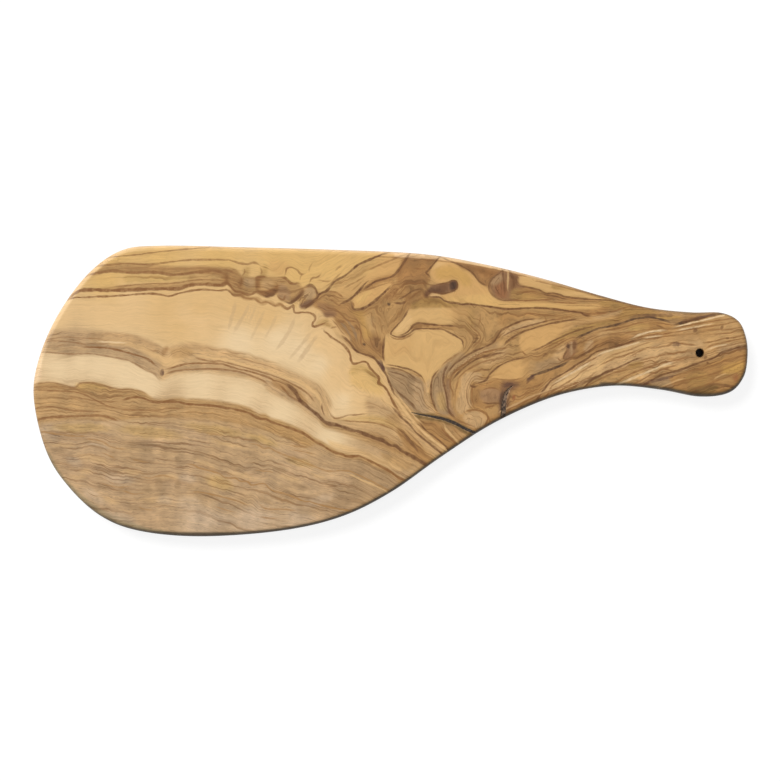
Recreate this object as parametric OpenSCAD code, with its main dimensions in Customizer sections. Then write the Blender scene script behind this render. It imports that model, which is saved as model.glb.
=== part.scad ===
// Serving board cut from one plank of olive wood: a wide rounded blade that runs
// in one long curve into a short handle with a hanging hole.
// The board lies on z = 0. The origin is under the middle of its length and width,
// +X runs towards the handle and +Y towards the straighter long edge.

/* [Blade] */
// Length of the blade, from its round end to the shoulder line
blade_l = 300; // [255:5:360]
// Greatest width of the blade
blade_w = 171; // [145:1:205]
// Thickness of the plank
board_t = 16; // [13:0.5:24]
// Radius of the rounded edges, above and below
edge_r = 3; // [1.5:0.1:5]

/* [Handle] */
// Length of the handle, from the shoulder line to its tip
handle_l = 120; // [98:1:145]
// Width of the handle at its waist
waist_w = 46.5; // [38:0.5:56]
// Distance from the blade's centreline to the middle of the waist
waist_y = 25.6; // [20:0.2:31]
// Width of the handle's flared end
grip_w = 49.6; // [41:0.2:60]
// Distance from the blade's centreline to the middle of the flared end
grip_y = 21.4; // [17:0.2:26]

/* [Hanging hole] */
// Bore of the hanging hole
hole_d = 5; // [4:0.1:8]
// Distance from the handle's tip to the middle of the hole
hole_inset = 28.2; // [20:0.2:36]
// Distance from the middle of the flared end to the middle of the hole
hole_shift = 0.9; // [-3:0.1:3]
// Width of the eased rim at each mouth of the hole
hole_ease = 0.4; // [0.2:0.05:1]

/* [Filled crack] */
// Distance from the shoulder line back to the crack's mouth in the edge
crack_back = 39.8; // [32:0.2:60]
// Length of the crack, from the edge to its tip
crack_l = 40; // [30:1:50]
// Greatest width of the crack
crack_w = 1.9; // [1.2:0.1:3]
// Direction in which the crack runs into the blade, from +X
crack_angle = 162; // [150:1:172]

/* [Bark pocket] */
// Distance from the shoulder line back to the pocket's mouth in the edge
bark_back = 24; // [10:0.2:27]
// Length of the bark pocket, from the edge to its inner end
bark_l = 19.5; // [14:0.5:26]
// Greatest width of the bark pocket
bark_w = 2.8; // [1.6:0.1:4]
// Direction in which the pocket runs into the blade, from +X
bark_angle = 86; // [75:1:97]

/* [Hidden] */
$fn = 64;

board_l = blade_l + handle_l;
blade_x = -board_l / 2;
handle_x = blade_x + blade_l;
tip_x = handle_x + handle_l;

// How far cutting shapes run past the faces that they cut
overrun = 4;
// Facets from one outline point to the next, and across each rounded edge
span_steps = 4;
edge_steps = 4;

// The outline goes clockwise, seen from above, from the blade's round end.
// Each point is [share of the blade's length, share of half its width].
blade_top_shares = [
    [0, -0.04], [0.012, 0.24], [0.049, 0.532], [0.107, 0.807], [0.172, 0.967],
    [0.25, 1], [0.405, 0.99], [0.583, 0.973], [0.759, 0.944], [0.877, 0.877],
    [0.993, 0.779]
];
blade_bottom_shares = [
    [0.993, -0.073], [0.895, -0.235], [0.797, -0.458], [0.7, -0.697],
    [0.602, -0.866], [0.485, -0.961], [0.33, -1], [0.21, -0.964],
    [0.132, -0.86], [0.067, -0.652], [0.024, -0.407]
];
// From the shoulder to the waist, each point is [share of the handle's length,
// share of the way from the waist's edge out to the blade's edge].
shoulder_top_shares = [[0.279, 0.2]];
shoulder_bottom_shares = [[0.18, 0.02]];
// Waist and flared end are [share of the handle's length, share of half the width].
waist_top_shares = [[0.51, 1.01]];
waist_bottom_shares = [[0.375, -0.965]];
grip_top_shares = [[0.72, 1.005], [0.868, 0.995], [0.955, 0.8], [0.993, 0.4]];
grip_bottom_shares = [
    [1, -0.06], [0.98, -0.54], [0.91, -0.9], [0.77, -0.995], [0.585, -0.835]
];

// Each point is [share of the length from the mouth, share of the length sideways,
// share of the greatest width].
crack_shares = [
    [0, 0, 0.9], [0.18, 0.023, 0.9], [0.32, 0.047, 1], [0.475, 0.058, 0.92],
    [0.63, 0.048, 0.75], [0.83, 0.02, 0.45], [1, 0, 0.1]
];
bark_shares = [
    [0, 0, 0.8], [0.2, 0, 0.94], [0.4, 0, 1], [0.6, 0.01, 0.9],
    [0.78, 0.05, 0.8], [0.9, 0.12, 0.55], [1, 0.22, 0.25]
];

function mix(from, to, share) = from + (to - from) * share;

// Points of one kind, from their shares
function on_blade(shares) = [
    for (s = shares) [blade_x + s.x * blade_l, s.y * blade_w / 2]
];
function on_shoulder(shares, side) = [
    for (s = shares) [
        handle_x + s.x * handle_l,
        mix(waist_y + side * waist_w / 2, side * blade_w / 2, s.y)
    ]
];
function on_handle(shares, middle, width) = [
    for (s = shares) [handle_x + s.x * handle_l, middle + s.y * width / 2]
];

knots = concat(
    on_blade(blade_top_shares),
    on_shoulder(shoulder_top_shares, 1),
    on_handle(waist_top_shares, waist_y, waist_w),
    on_handle(grip_top_shares, grip_y, grip_w),
    on_handle(grip_bottom_shares, grip_y, grip_w),
    on_handle(waist_bottom_shares, waist_y, waist_w),
    on_shoulder(shoulder_bottom_shares, -1),
    on_blade(blade_bottom_shares)
);
knot_count = len(knots);

// Smooth curve through b and c, with a and d as its neighbours
function curve(a, b, c, d, t) = (
    2 * b + (c - a) * t + (2 * a - 5 * b + 4 * c - d) * t * t
    + (3 * b - a - 3 * c + d) * t * t * t
) / 2;
function knot(i) = knots[(i + knot_count) % knot_count];
outline = [
    for (k = [0 : knot_count - 1], i = [0 : span_steps - 1])
        curve(knot(k - 1), knot(k), knot(k + 1), knot(k + 2), i / span_steps)
];
point_count = len(outline);
function point(i) = outline[(i + point_count) % point_count];

// Outward direction of one facet, and how a corner moves for each unit of offset
function outward(i) = let (t = point(i + 1) - point(i)) [-t.y, t.x] / norm(t);
function mitre(i) = let (a = outward(i - 1), b = outward(i)) (a + b) / (1 + a * b);

// One ring of the rounded plank: turn is 0 on the flat face and 90 on the side
function ring(turn, top) = let (
    inset = edge_r * (1 - sin(turn)),
    rise = edge_r * (1 - cos(turn)),
    z = top ? board_t - rise : rise
) [for (i = [0 : point_count - 1]) let (p = point(i) - mitre(i) * inset) [p.x, p.y, z]];

// Flat face in strips from one long edge to the other, pairing the points that
// lie as far from the round end either way
function face_strips(start) = let (n = point_count) [
    for (i = [0 : n / 2 - 1], side = [0, 1])
        if (side == 0 ? i + 1 < n / 2 : i > 0)
            side == 0
                ? [start + i, start + i + 1, start + n - i - 1]
                : [start + i, start + n - i - 1, start + n - i]
];
function flipped(faces) = [for (f = faces) [f[2], f[1], f[0]]];

// Facets between one ring and the next
function band(start) = let (n = point_count) [
    for (i = [0 : n - 1], side = [0, 1])
        let (a = start + i, b = start + (i + 1) % n)
            side == 0 ? [a, b, b + n] : [a, b + n, a + n]
];

// The plank with its rounded edges, before the hole and the fissures are cut
module blank() {
    turns = [for (k = [0 : edge_steps]) k * 90 / edge_steps];
    rings = concat(
        [for (turn = turns) ring(turn, false)],
        [for (k = [edge_steps : -1 : 0]) ring(turns[k], true)]
    );
    last = len(rings) - 1;
    polyhedron(
        points = [for (r = rings, p = r) p],
        faces = concat(
            flipped(face_strips(0)),
            [for (k = [0 : last - 1], f = band(k * point_count)) f],
            face_strips(last * point_count)
        )
    );
}

// Where the lower edge of the outline crosses an x
function lower_edge(x) = [
    for (i = [0 : point_count - 1])
        let (a = point(i), b = point(i + 1))
            if (a.x >= x && b.x < x) mix(a, b, (a.x - x) / (a.x - b.x))
][0];

// Upright prism along a winding line that starts at the lower edge
module fissure(back_from_shoulder, length, width, angle, shares) {
    mouth = lower_edge(handle_x - back_from_shoulder);
    ahead = [cos(angle), sin(angle)];
    aside = [sin(angle), -cos(angle)];
    line = [for (s = shares) mouth + length * (s.x * ahead + s.y * aside)];
    half = [for (s = shares) s.z * width / 2];
    last = len(shares) - 1;
    outside = mouth - overrun * ahead;
    translate([0, 0, -overrun])
        linear_extrude(board_t + 2 * overrun)
            polygon(concat(
                [outside + half[0] * aside],
                [for (i = [0 : last]) line[i] + half[i] * aside],
                [for (i = [last : -1 : 0]) line[i] - half[i] * aside],
                [outside - half[0] * aside]
            ));
}

module crack() fissure(crack_back, crack_l, crack_w, crack_angle, crack_shares);
module bark() fissure(bark_back, bark_l, bark_w, bark_angle, bark_shares);

module hanging_hole() {
    r = hole_d / 2;
    wide_r = r + hole_ease + overrun;
    ease_h = hole_ease + overrun;
    translate([tip_x - hole_inset, grip_y + hole_shift, 0]) {
        translate([0, 0, -overrun])
            cylinder(h = board_t + 2 * overrun, r = r);
        translate([0, 0, -overrun])
            cylinder(h = ease_h, r1 = wide_r, r2 = r);
        translate([0, 0, board_t - hole_ease])
            cylinder(h = ease_h, r1 = r, r2 = wide_r);
    }
}

module board() {
    color("#c69a62")
        difference() {
            blank();
            hanging_hole();
            crack();
            bark();
        }
}

module crack_filler() {
    color("#3a332c")
        intersection() {
            blank();
            crack();
        }
}

module bark_inclusion() {
    color("#6d5a48")
        intersection() {
            blank();
            bark();
        }
}

board();
crack_filler();
bark_inclusion();
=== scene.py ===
import math
import bmesh
import bpy
import numpy as np
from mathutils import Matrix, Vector, noise


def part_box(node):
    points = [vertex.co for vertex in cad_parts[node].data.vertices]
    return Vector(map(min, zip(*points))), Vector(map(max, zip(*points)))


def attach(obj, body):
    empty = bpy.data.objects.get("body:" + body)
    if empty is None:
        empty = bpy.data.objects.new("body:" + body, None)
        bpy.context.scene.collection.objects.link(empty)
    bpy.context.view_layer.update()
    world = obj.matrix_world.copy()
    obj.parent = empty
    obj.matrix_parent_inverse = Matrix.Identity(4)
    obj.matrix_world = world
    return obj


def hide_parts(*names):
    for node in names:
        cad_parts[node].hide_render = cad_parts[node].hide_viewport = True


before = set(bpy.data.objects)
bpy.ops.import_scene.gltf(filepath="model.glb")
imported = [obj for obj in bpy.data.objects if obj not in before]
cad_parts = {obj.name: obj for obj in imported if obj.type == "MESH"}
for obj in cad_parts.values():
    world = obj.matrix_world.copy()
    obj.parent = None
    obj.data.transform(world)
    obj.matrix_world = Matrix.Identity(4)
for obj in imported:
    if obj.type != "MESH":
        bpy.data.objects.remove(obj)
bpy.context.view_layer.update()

# A serving board cut from one plank of olive wood, seen from straight above.
# The wood's figure is laid down as tones and growth lines in a sketch of the board,
# and the wood's material draws them finely from the attributes that the mesh carries.

mm = 0.001

# The sketch: x to the right and y down, in steps of 0.588 mm, with the board's middle at its centre
sketch = {
    "step": 0.5882,
    "centre": (390.5, 391.0),
}

# Hex colours of the wood, from the palest sapwood to the bark side of a knot
woodTones = {
    "cream": "e9cc9f",
    "pale": "e2bc85",
    "straw": "dbb378",
    "sand": "dfb67c",
    "gold": "dab06b",
    "amber": "d3a96c",
    "honey": "cfa163",
    "ochre": "c4984f",
    "olive": "c09a58",
    "oat": "c4a888",
    "wheat": "bd9b73",
    "fawn": "b6946a",
    "tan": "c7a06e",
    "biscuit": "bc935e",
    "clay": "b38a54",
    "khaki": "ac8548",
    "drab": "a3835c",
    "dusk": "9f7a57",
    "hazel": "a77b46",
    "bronze": "9a6e3e",
    "cocoa": "87603f",
    "umber": "85572a",
    "bark": "6a4220",
    "moss": "6e5428",
    "rust": "94562e",
    "soot": "452c1c",
    "plum": "5c3b2c",
    "ash": "8f7454",
    # Painted highlight and painted shade for the rounded edges
    "rimPaintedHighlight": "f2d0a6",
    "rimGrey": "8f8568",
    "rimPaintedShade": "5a4d3c",
}

# How restless the grain is in some tones; it is 1 in all the others
calmTones = {
    "cream": 0.1, "pale": 0.12, "straw": 0.15, "sand": 0.3, "gold": 0.35, "amber": 0.18, "honey": 0.25,
    "ochre": 0.4, "wheat": 1.2, "oat": 1.1, "fawn": 1.1, "rimPaintedHighlight": 0.6,
}

# Soft ground of the figure: tone, then x,y of the places that it spreads from
ground = [
    ("gold", [110,256, 160,257, 220,256, 280,258, 330,262, 105,278, 370,262, 300,272]),
    ("pale", [60,312, 100,315, 130,305, 200,322]),
    ("straw", [180,325, 200,308, 240,304, 268,316, 168,306]),
    ("cream", [240,342, 278,340, 100,368, 60,370, 125,376, 140,384, 150,388, 200,386, 240,398, 80,362]),
    ("cream", [300,350, 280,415, 330,440, 320,365, 345,400]),
    ("pale", [185,318, 335,372, 335,350, 345,385, 355,400, 320,340]),
    ("sand", [362,385, 365,372, 375,400, 392,432]),
    ("fawn", [60,400, 100,400, 75,346, 240,425, 160,408]),
    ("wheat", [60,440, 100,440, 100,470, 160,440, 200,440, 300,455, 130,500, 250,480]),
    ("wheat", [80,480, 300,480, 350,478, 320,505, 180,480, 370,470, 340,500]),
    ("fawn", [390,475, 400,465, 380,455, 360,480]),
    ("fawn", [130,450, 170,450, 215,450, 255,452, 200,495, 150,497, 245,498, 290,496]),
    ("oat", [200,518, 250,515, 300,515]),
    ("wheat", [150,517, 115,510]),
    ("amber", [400,347, 385,352, 435,348, 440,318]),
    ("honey", [450,272, 380,268, 465,395, 472,418, 515,370, 545,338]),
    ("clay", [412,275, 375,315, 350,310, 355,335, 400,300, 430,302]),
    ("clay", [500,315, 530,314, 470,318, 480,340, 470,365, 440,385, 420,395, 440,405]),
    ("hazel", [505,290, 520,290, 495,350, 455,405, 478,395, 490,400, 540,362, 520,385]),
    ("hazel", [560,300, 600,305, 620,312, 600,340, 560,352, 620,340, 580,345, 645,312]),
    ("biscuit", [560,385, 640,330, 660,332, 625,372, 720,330, 740,340, 600,376, 720,345]),
    ("tan", [640,352, 660,350, 655,356, 690,340, 600,362, 575,374, 680,355, 650,340]),
    ("hazel", [690,385, 700,372, 660,380, 735,375, 735,358, 500,408, 480,425, 455,430]),
    ("biscuit", [430,455, 415,445, 400,450]),
]

# Areas of the figure: tone, cover, softness of the edge in mm, x,y of the corners
areas = [
    ("clay", 0.9, 0.8, [92,276, 99,270, 108,265, 125,263.3, 142,263.8, 180,266.5, 200,266, 222,267.5, 236,270,
     236,279, 218,276.5, 212,275, 200,274, 172,275.5, 160,273.5, 147,272.9, 135,274.2, 120,271.7, 113,271.3]),
    ("hazel", 0.7, 1.2, [120,270, 160,270, 180,271, 200,269, 225,270, 232,277, 212,274.5, 147,272.5,
     130,273]),
    ("olive", 0.6, 1.5, [125,275, 150,275, 175,277, 195,276, 192,281, 140,283, 125,282]),
    ("clay", 0.7, 1.0, [190,276, 212,276, 225,279, 225,282, 205,280, 188,282]),
    ("hazel", 0.6, 1.0, [95,289, 112,287, 150,284, 178,283, 200,280.5, 225,281, 225,284, 205,284, 190,285,
     180,289, 110,290.5]),
    # Curled grain, dark in the folds and light on their backs
    ("clay", 0.95, 0.8, [222,269, 234,270, 242,276, 256,277, 262,276, 270,277, 284,278, 289,283, 297,283,
     303,287, 310,285, 316,290, 321,293, 322,300, 312,307, 301,308, 299,301, 289,303, 280,300, 276,293,
     268,297, 257,292.5, 248,295.5, 238,297, 231,293, 228,284, 222,284]),
    ("hazel", 0.6, 1.2, [222,270, 238,271, 241,277, 236,282, 222,282]),
    ("hazel", 0.4, 1.4, [228,281, 238,281, 246,284, 254,290, 248,294, 240,295, 232,291]),
    ("umber", 0.55, 1.0, [224,273, 228,273, 229,282, 225,283]),
    ("umber", 0.6, 1.2, [240,278, 244,278, 243,285, 240,288, 238,284]),
    ("umber", 0.75, 0.9, [256,277.5, 264,276.5, 263,279, 260,281, 260,288, 256,289, 255.5,283]),
    ("fawn", 0.6, 1.2, [245,278, 254,279, 254,287, 248,288, 244,284]),
    ("tan", 0.5, 1.2, [263,280, 272,280, 273,286, 268,290, 262,287]),
    ("umber", 0.75, 0.9, [256,290, 264,291, 272,289, 278,284, 279,289, 276,294, 268,297, 260,295]),
    ("bark", 0.5, 0.8, [266,293, 272,291, 277,290, 275,294.5, 268,297]),
    ("dusk", 0.6, 1.0, [280,284, 287,286, 291,291, 289,300, 283,300, 278,296, 279,289]),
    ("clay", 0.7, 1.0, [286,281, 296,284, 299,288, 296,294, 290,292, 287,286]),
    ("bark", 0.65, 0.8, [291,300, 297,295, 301,290, 305,290, 303,296, 298,300, 292,303.5]),
    ("fawn", 0.7, 0.9, [305,289, 311,287, 316,291, 315,297, 308,300, 304,297]),
    ("plum", 0.65, 0.9, [300,305, 306,301, 314,299, 318,300, 312,305, 301,308.5]),
    ("sand", 0.8, 0.7, [224,286.3, 229,287, 232,290, 228,289, 222,289]),
    ("sand", 0.7, 0.7, [254,296, 259,295, 263,298, 268,299, 264,301, 258,300]),
    ("sand", 0.5, 0.7, [271,298, 276,296.5, 277,300, 274,303.5, 271,302]),
    ("sand", 0.7, 0.7, [281,302, 288,304, 289,306.5, 284,306]),
    ("gold", 0.6, 0.7, [293,304, 298,303, 298,306, 295,307.5]),
    ("sand", 0.6, 0.6, [296,308, 300,308.5, 300,311, 296,312]),
    ("sand", 0.6, 1.0, [302,309, 312,308, 320,310, 325,316, 316,313, 303,311.5]),
    ("khaki", 0.5, 0.9, [315,325, 320,320, 330,318.5, 336,322, 334,328, 324,326]),
    ("khaki", 0.5, 1.6, [243,277, 244,270, 249,267, 250,272, 248,277]),
    ("khaki", 0.5, 1.6, [260,277, 262,269, 267,266, 268,271, 265,277]),
    ("honey", 0.6, 2.0, [270,260, 284,261, 290,268, 280,276, 270,270]),
    # The tan bands of the left half and their long run to the lower right
    ("fawn", 0.9, 1.6, [20,333, 52,330, 90,331, 110,332, 130,335, 140,337.5, 150,341, 158,345, 163,351,
     164,372, 160,380, 155,374, 144,369, 132,362, 125,359.5, 92,354, 70,354, 50,352.5, 20,352]),
    ("tan", 0.85, 1.2, [92,332, 110,332.5, 130,334.5, 143,338, 155,343, 162,348, 165,358, 158,358, 143,347.5,
     132,344.5, 92,342]),
    ("tan", 0.85, 1.8, [163,350, 176,345, 190,343, 200,344, 210,346, 220,349, 230,350, 270,362, 280,366,
     317,384, 328,397, 331,404, 330,413, 334,418, 375,423, 392,428, 402,440, 398,448, 368,437, 337,427,
     325,424, 306,412, 300,407, 292,402, 270,391.5, 264,385, 252,380, 245,378, 215,373, 205,372, 176,374,
     161,379]),
    ("sand", 0.7, 1.2, [110,341, 132,342.7, 143,346, 152,351, 160,354, 172,357, 184,358, 178,363, 168,366.5,
     140,351, 128,346.5, 110,344.5]),
    ("clay", 0.55, 1.4, [170,350, 186,347, 194,352, 188,357, 174,358]),
    ("bronze", 0.55, 0.9, [163,349, 167,346, 169,349, 166,354, 163,356, 162,352]),
    ("drab", 0.55, 1.0, [170,369.5, 184,366, 200,364.7, 218,365, 232,368, 248,372.5, 250,376, 215,371,
     195,370, 180,371, 168,373.5]),
    ("fawn", 0.7, 1.6, [262,374, 275,378, 290,385, 315,409, 325,420, 340,426, 360,431, 350,434, 330,429,
     315,419, 300,407, 270,390, 264,383]),
    ("hazel", 0.6, 1.2, [272,378, 284,380, 296,387, 303,395, 308,404, 303,405, 294,397, 274,386]),
    ("clay", 0.65, 1.2, [318,416, 326,422, 352,429, 368,432, 384,437, 408,450, 420,458, 416,462, 400,455,
     384,450, 338,431, 324,427]),
    ("bronze", 0.35, 1.2, [358,431, 372,434, 386,438, 410,451, 406,455, 362,437]),
    ("olive", 0.5, 1.6, [334,419, 368,415, 384,417, 398,424, 392,428, 372,423]),
    ("fawn", 0.55, 2.0, [366,398, 378,398, 388,406, 398,416, 400,424, 384,417, 368,413]),
    # The brown band that falls from the round end to the lower edge
    ("clay", 0.9, 1.0, [20,384, 50,382, 60,383.5, 75,387, 80,383, 90,382, 100,383.5, 118,388.5, 130,388.5,
     143,391.5, 157,399.5, 175,398, 183,398, 187,399.5, 195,399, 224,402, 245,406, 252,409, 258,413.5,
     266,414, 271,418, 278,419.5, 285,422, 300,428.5, 308,433, 315,438, 322,441, 330,446, 342,452, 368,458,
     382,465, 396,474, 404,482, 392,482, 370,470, 345,461, 325,455, 270,432, 240,424, 200,418, 160,416,
     120,420, 80,419, 20,420]),
    ("tan", 0.4, 3.0, [30,386, 104,395, 150,399, 200,402, 230,406, 225,412, 160,412, 100,414, 30,413]),
    ("tan", 0.55, 2.0, [30,412, 190,409, 230,412, 262,420, 262,428, 230,422, 190,419, 140,418, 100,420,
     60,423, 30,424]),
    ("olive", 0.5, 1.4, [76,384, 90,383, 104,385, 106,389, 90,390, 78,389]),
    ("clay", 0.3, 4.0, [120,412, 170,404, 230,410, 280,424, 320,446, 330,456, 290,448, 240,432, 180,424,
     130,424]),
    ("gold", 0.7, 2.0, [352,372, 366,368, 378,378, 384,392, 376,394, 352,384]),
    ("olive", 0.6, 1.4, [352,365, 362,364, 372,370, 380,378, 384,387, 378,386, 372,378, 362,370, 354,374,
     349,374]),
    ("fawn", 0.9, 1.4, [308,447, 318,444.5, 330,452, 345,458, 360,460, 380,470, 397,480, 388,490, 345,472,
     325,468, 308,462]),
    ("drab", 0.6, 3.0, [345,463, 372,466, 400,482, 384,494, 362,503, 330,510, 300,514, 300,500, 325,492,
     350,482]),
    ("clay", 0.6, 1.6, [380,452, 392,455, 412,463, 408,470, 396,468, 384,460]),
    ("sand", 0.7, 1.4, [328,440, 360,449.5, 375,455, 390,462, 402,470, 395,470.5, 362,457, 345,452, 331,447]),
    ("clay", 0.6, 1.6, [386,416, 398,413, 412,421, 426,433, 432,442, 416,437, 388,425]),
    # Brown heart to the right of the curls
    ("hazel", 0.9, 0.9, [319,294, 327,291.5, 337,293, 344,300, 351,303, 353,309.5, 362,310, 372,305, 388,290,
     396,284, 400,272, 406,261, 409,257, 409,250, 440,252, 429,272, 430,280, 424,290, 425,297, 418,301,
     411,303, 409,308, 404,316, 393,331, 386,335, 384,346, 383,360, 358,352, 344,338, 338,330, 333,321,
     326,316, 322,311, 314,307, 313,301]),
    ("clay", 0.8, 2.0, [364,312, 380,302, 394,296, 408,304, 404,316, 398,324, 388,332, 378,330, 370,322]),
    ("clay", 0.6, 1.6, [321,294, 330,292.5, 338,294, 345,301, 340,306, 320,300]),
    ("cocoa", 0.5, 1.2, [316,303, 326,304, 335,309, 337,316, 326,317]),
    ("plum", 0.3, 0.9, [324,312.5, 329,311.5, 335,314, 333,317.3, 325,317]),
    ("sand", 0.7, 0.9, [328,317.5, 333,317, 337,324, 350,338, 349,341, 342,337, 334,331, 329,324]),
    ("ochre", 0.6, 2.0, [352,313, 361,311, 368,317, 371,328, 370,338, 364,338, 362,327, 358,319]),
    ("tan", 0.5, 1.8, [364,315, 371,317, 375,326, 373,333, 367,328]),
    ("bronze", 0.7, 1.4, [371,338, 376,335.5, 382,339, 383,352, 376,352, 370,348]),
    ("amber", 0.5, 2.5, [372,328, 380,328, 386,335, 384,342, 378,336]),
    ("bronze", 0.75, 1.0, [400,262, 408,257, 436,258, 429,270, 429,281, 418,284, 405,283, 397,285]),
    ("clay", 0.5, 1.8, [398,290, 408,285, 420,286, 424,290, 420,298, 408,301, 400,299]),
    ("bronze", 0.6, 1.0, [386,283, 394,281, 396,288, 393,297, 388,301, 384,297, 388,290]),
    ("khaki", 0.9, 0.8, [410,305, 418,301, 426,298, 440,298.5, 446,302, 458,304, 463,307, 456,309, 440,307.5,
     425,307.5, 412,309]),
    # Strips that rise to the upper edge
    ("clay", 0.5, 1.4, [335,282, 346,276, 359,265, 366,261, 378,258.5, 386,260, 376,264, 360,276, 344,286,
     334,289]),
    ("honey", 0.8, 1.2, [384,259, 399,258, 401,262, 398,268, 393,274, 385,276, 380,275, 384,267]),
    ("umber", 0.5, 0.9, [358,292, 370,282, 377,278, 392,274.5, 397,271, 407,256, 411,256, 405,264, 400,274,
     395,279, 380,284, 360,294]),
    ("honey", 0.95, 0.7, [353,299, 362,292, 368,289.5, 384,284.5, 391,283.5, 391,287, 382,296, 370,304,
     363,307.5, 355,308.5, 353,304]),
    ("gold", 0.75, 1.4, [355,299, 362,294, 371,291, 367,298, 358,304]),
    # Gold between the dark lobes of the knots
    ("amber", 0.95, 0.8, [386,337, 400,340, 408,337.5, 414,333, 420,330.5, 440,331, 447,333, 461,340, 463,347,
     460,352, 447,361, 442,366, 434,375, 428,386, 422,376, 416,371.5, 408,368.5, 391,364.5, 386,361,
     384.5,350]),
    ("honey", 0.5, 3.0, [388,340, 400,342, 412,338, 412,350, 398,356, 388,356]),
    ("amber", 0.95, 0.7, [412,310, 420,308.7, 440,308.3, 456,309, 457.5,316, 457,323.5, 440,323.5, 421,321.8,
     415,323, 407,331, 401,334, 396,333.5, 393.5,331, 398,326, 408,311]),
    ("sand", 0.7, 1.4, [398,327, 404,319, 410,315, 412,323, 406,331, 398,334, 394,332]),
    ("hazel", 0.75, 0.6, [411,326, 420,323.8, 456,325.5, 460,330, 418,328.5, 411,330.5]),
    ("honey", 0.95, 0.8, [437,261, 448,262.5, 457,265, 466,270, 474,275, 478,281, 484,286, 489,289, 494,296,
     502,300.5, 540,303, 580,303.5, 604,306, 590,309.5, 566,309, 540,307, 520,308, 500,307.5, 480,304.7,
     462,303.7, 448,301.7, 442,297.7, 436,295.7, 444,294.6, 451,292.6, 457,289, 458,284, 456,280, 450,280,
     444,282.5, 437,282.5, 432,278, 430,273, 432,267]),
    ("ochre", 0.6, 2.0, [435,269, 448,266, 462,270, 470,277, 470,286, 461,285, 456,279, 438,279]),
    ("gold", 0.6, 1.6, [446,298, 490,294, 502,301, 540,303.5, 596,305.5, 580,308.5, 495,306.5, 470,303.5,
     450,302]),
    ("sand", 0.6, 0.8, [436,262.5, 447,263.3, 439,266.5, 432,270]),
    ("bronze", 0.95, 0.8, [455,262, 500,272, 490,283, 489,286.5, 484,285.5, 478.5,281.5, 474.5,276, 468,271,
     461,268]),
    ("umber", 0.5, 1.4, [464,265, 499,272, 494,278, 484,275, 472,270]),
    ("cocoa", 0.95, 0.7, [427,291, 431,286, 438,284.3, 448,283.2, 452,280.6, 456,281, 457.7,285, 456,290,
     444,293.7, 432,293, 427.5,297, 424.5,296.5, 425,293]),
    ("soot", 0.75, 0.8, [451,281, 456,281.3, 457,286, 455.5,290, 451,290.5, 449.5,286]),
    ("bark", 0.6, 0.8, [424.5,291, 429.5,290, 429.5,296, 425,298]),
    ("sand", 0.85, 0.5, [429,294.6, 434,293.7, 441,294.4, 440,296.5, 431,296.6]),
    ("cocoa", 0.8, 1.6, [489,287, 491,281, 496,275, 502,271, 512,271, 519,276, 521,284, 524,291, 518,298,
     508,301, 500,300, 493,296]),
    ("fawn", 0.6, 1.3, [490,283, 494,277, 500,274, 503,277, 500,283, 494,285.5]),
    ("rust", 0.4, 1.2, [495,286, 505,282, 506,297, 497,296]),
    ("bark", 0.5, 1.3, [510,276, 516,275, 519,281, 516,287, 511,290]),
    ("khaki", 0.7, 1.0, [511,291, 518,288, 548,294, 546,298, 512,300]),
    ("amber", 0.9, 0.9, [519,277, 530,277, 604,299, 590,299, 575,297, 566,297, 558,294, 547,292.5, 538,289,
     519,284]),
    ("khaki", 0.7, 0.8, [552,285, 566,287, 580,291, 553,289]),
    ("bronze", 0.6, 1.2, [518,287, 530,289, 545,293, 576,299.5, 560,300, 524,293]),
    ("clay", 0.8, 0.8, [540,299, 600,301, 612,302, 600,304, 570,303.5, 545,302]),
    # Brown field and the bands that sweep up into the handle
    ("clay", 0.95, 0.9, [457,309.5, 464,306, 480,307, 495,309, 520,310, 545,310, 565,312.5, 590,317.5,
     560,320, 530,319.5, 515,323, 504,329, 491,342, 484,347, 464,355, 462,349, 463,342, 457,330, 458,322]),
    ("hazel", 0.7, 2.0, [498,311, 530,311, 560,313.5, 576,317, 556,319, 530,318, 514,321, 504,327, 498,322]),
    ("khaki", 0.4, 2.0, [458,310, 472,308, 474,322, 470,330, 460,328]),
    ("drab", 0.6, 1.6, [444,365, 452,357.5, 461,352, 466,355, 476,350.5, 486,347, 500,340, 506,338, 502,346,
     490,350, 478,355, 467,361, 458,368, 451,376, 446,374]),
    ("clay", 0.9, 1.0, [499,337, 508,333, 517,331, 520,336, 519,344, 522,352, 519,357, 504,358, 498,352]),
    ("tan", 0.85, 0.7, [500,336, 502.5,331.5, 508,328, 526,321.5, 536,319.8, 546,321, 535,325, 514,331,
     507,335]),
    ("honey", 0.95, 0.7, [520,335, 534,329, 544,326, 556,323.5, 580,319.5, 616,317, 608,320, 584,323.8,
     574,326.5, 566,330, 558,335, 546,345, 526,355, 521,350, 519,342]),
    ("biscuit", 0.6, 1.4, [566,321, 600,318, 607,320, 570,334, 560,336]),
    ("khaki", 0.8, 1.0, [568,331, 576,327, 600,321.7, 613,320, 617,322, 604,326, 580,335, 570,336.5, 550,346,
     557,338.5]),
    ("hazel", 0.9, 1.0, [574,341, 600,331, 612,328, 655,321, 655,330, 606,338, 600,344, 600,350, 590,354,
     580,359, 571,359, 571,350]),
    ("biscuit", 0.7, 1.0, [600,331, 618,328.5, 640,327, 648,330, 630,333, 612,335, 598,338]),
    ("fawn", 0.75, 0.9, [583,350, 586,343, 591,339.5, 593.5,343, 590,349, 586,354]),
    ("bronze", 0.5, 1.0, [600,340, 614,337, 626,338, 630,342, 604,348]),
    ("clay", 0.9, 0.9, [462,372, 468,365, 478,360, 490,355.5, 502,353, 520,353, 524,356, 512,360, 503,364,
     489,374, 483,377, 474,376]),
    ("drab", 0.9, 1.0, [386,367, 402,371.5, 421,379, 424,386, 424,396, 426,404, 430,412, 418,413.5, 409,407,
     401,400, 395,392, 390,383]),
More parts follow.
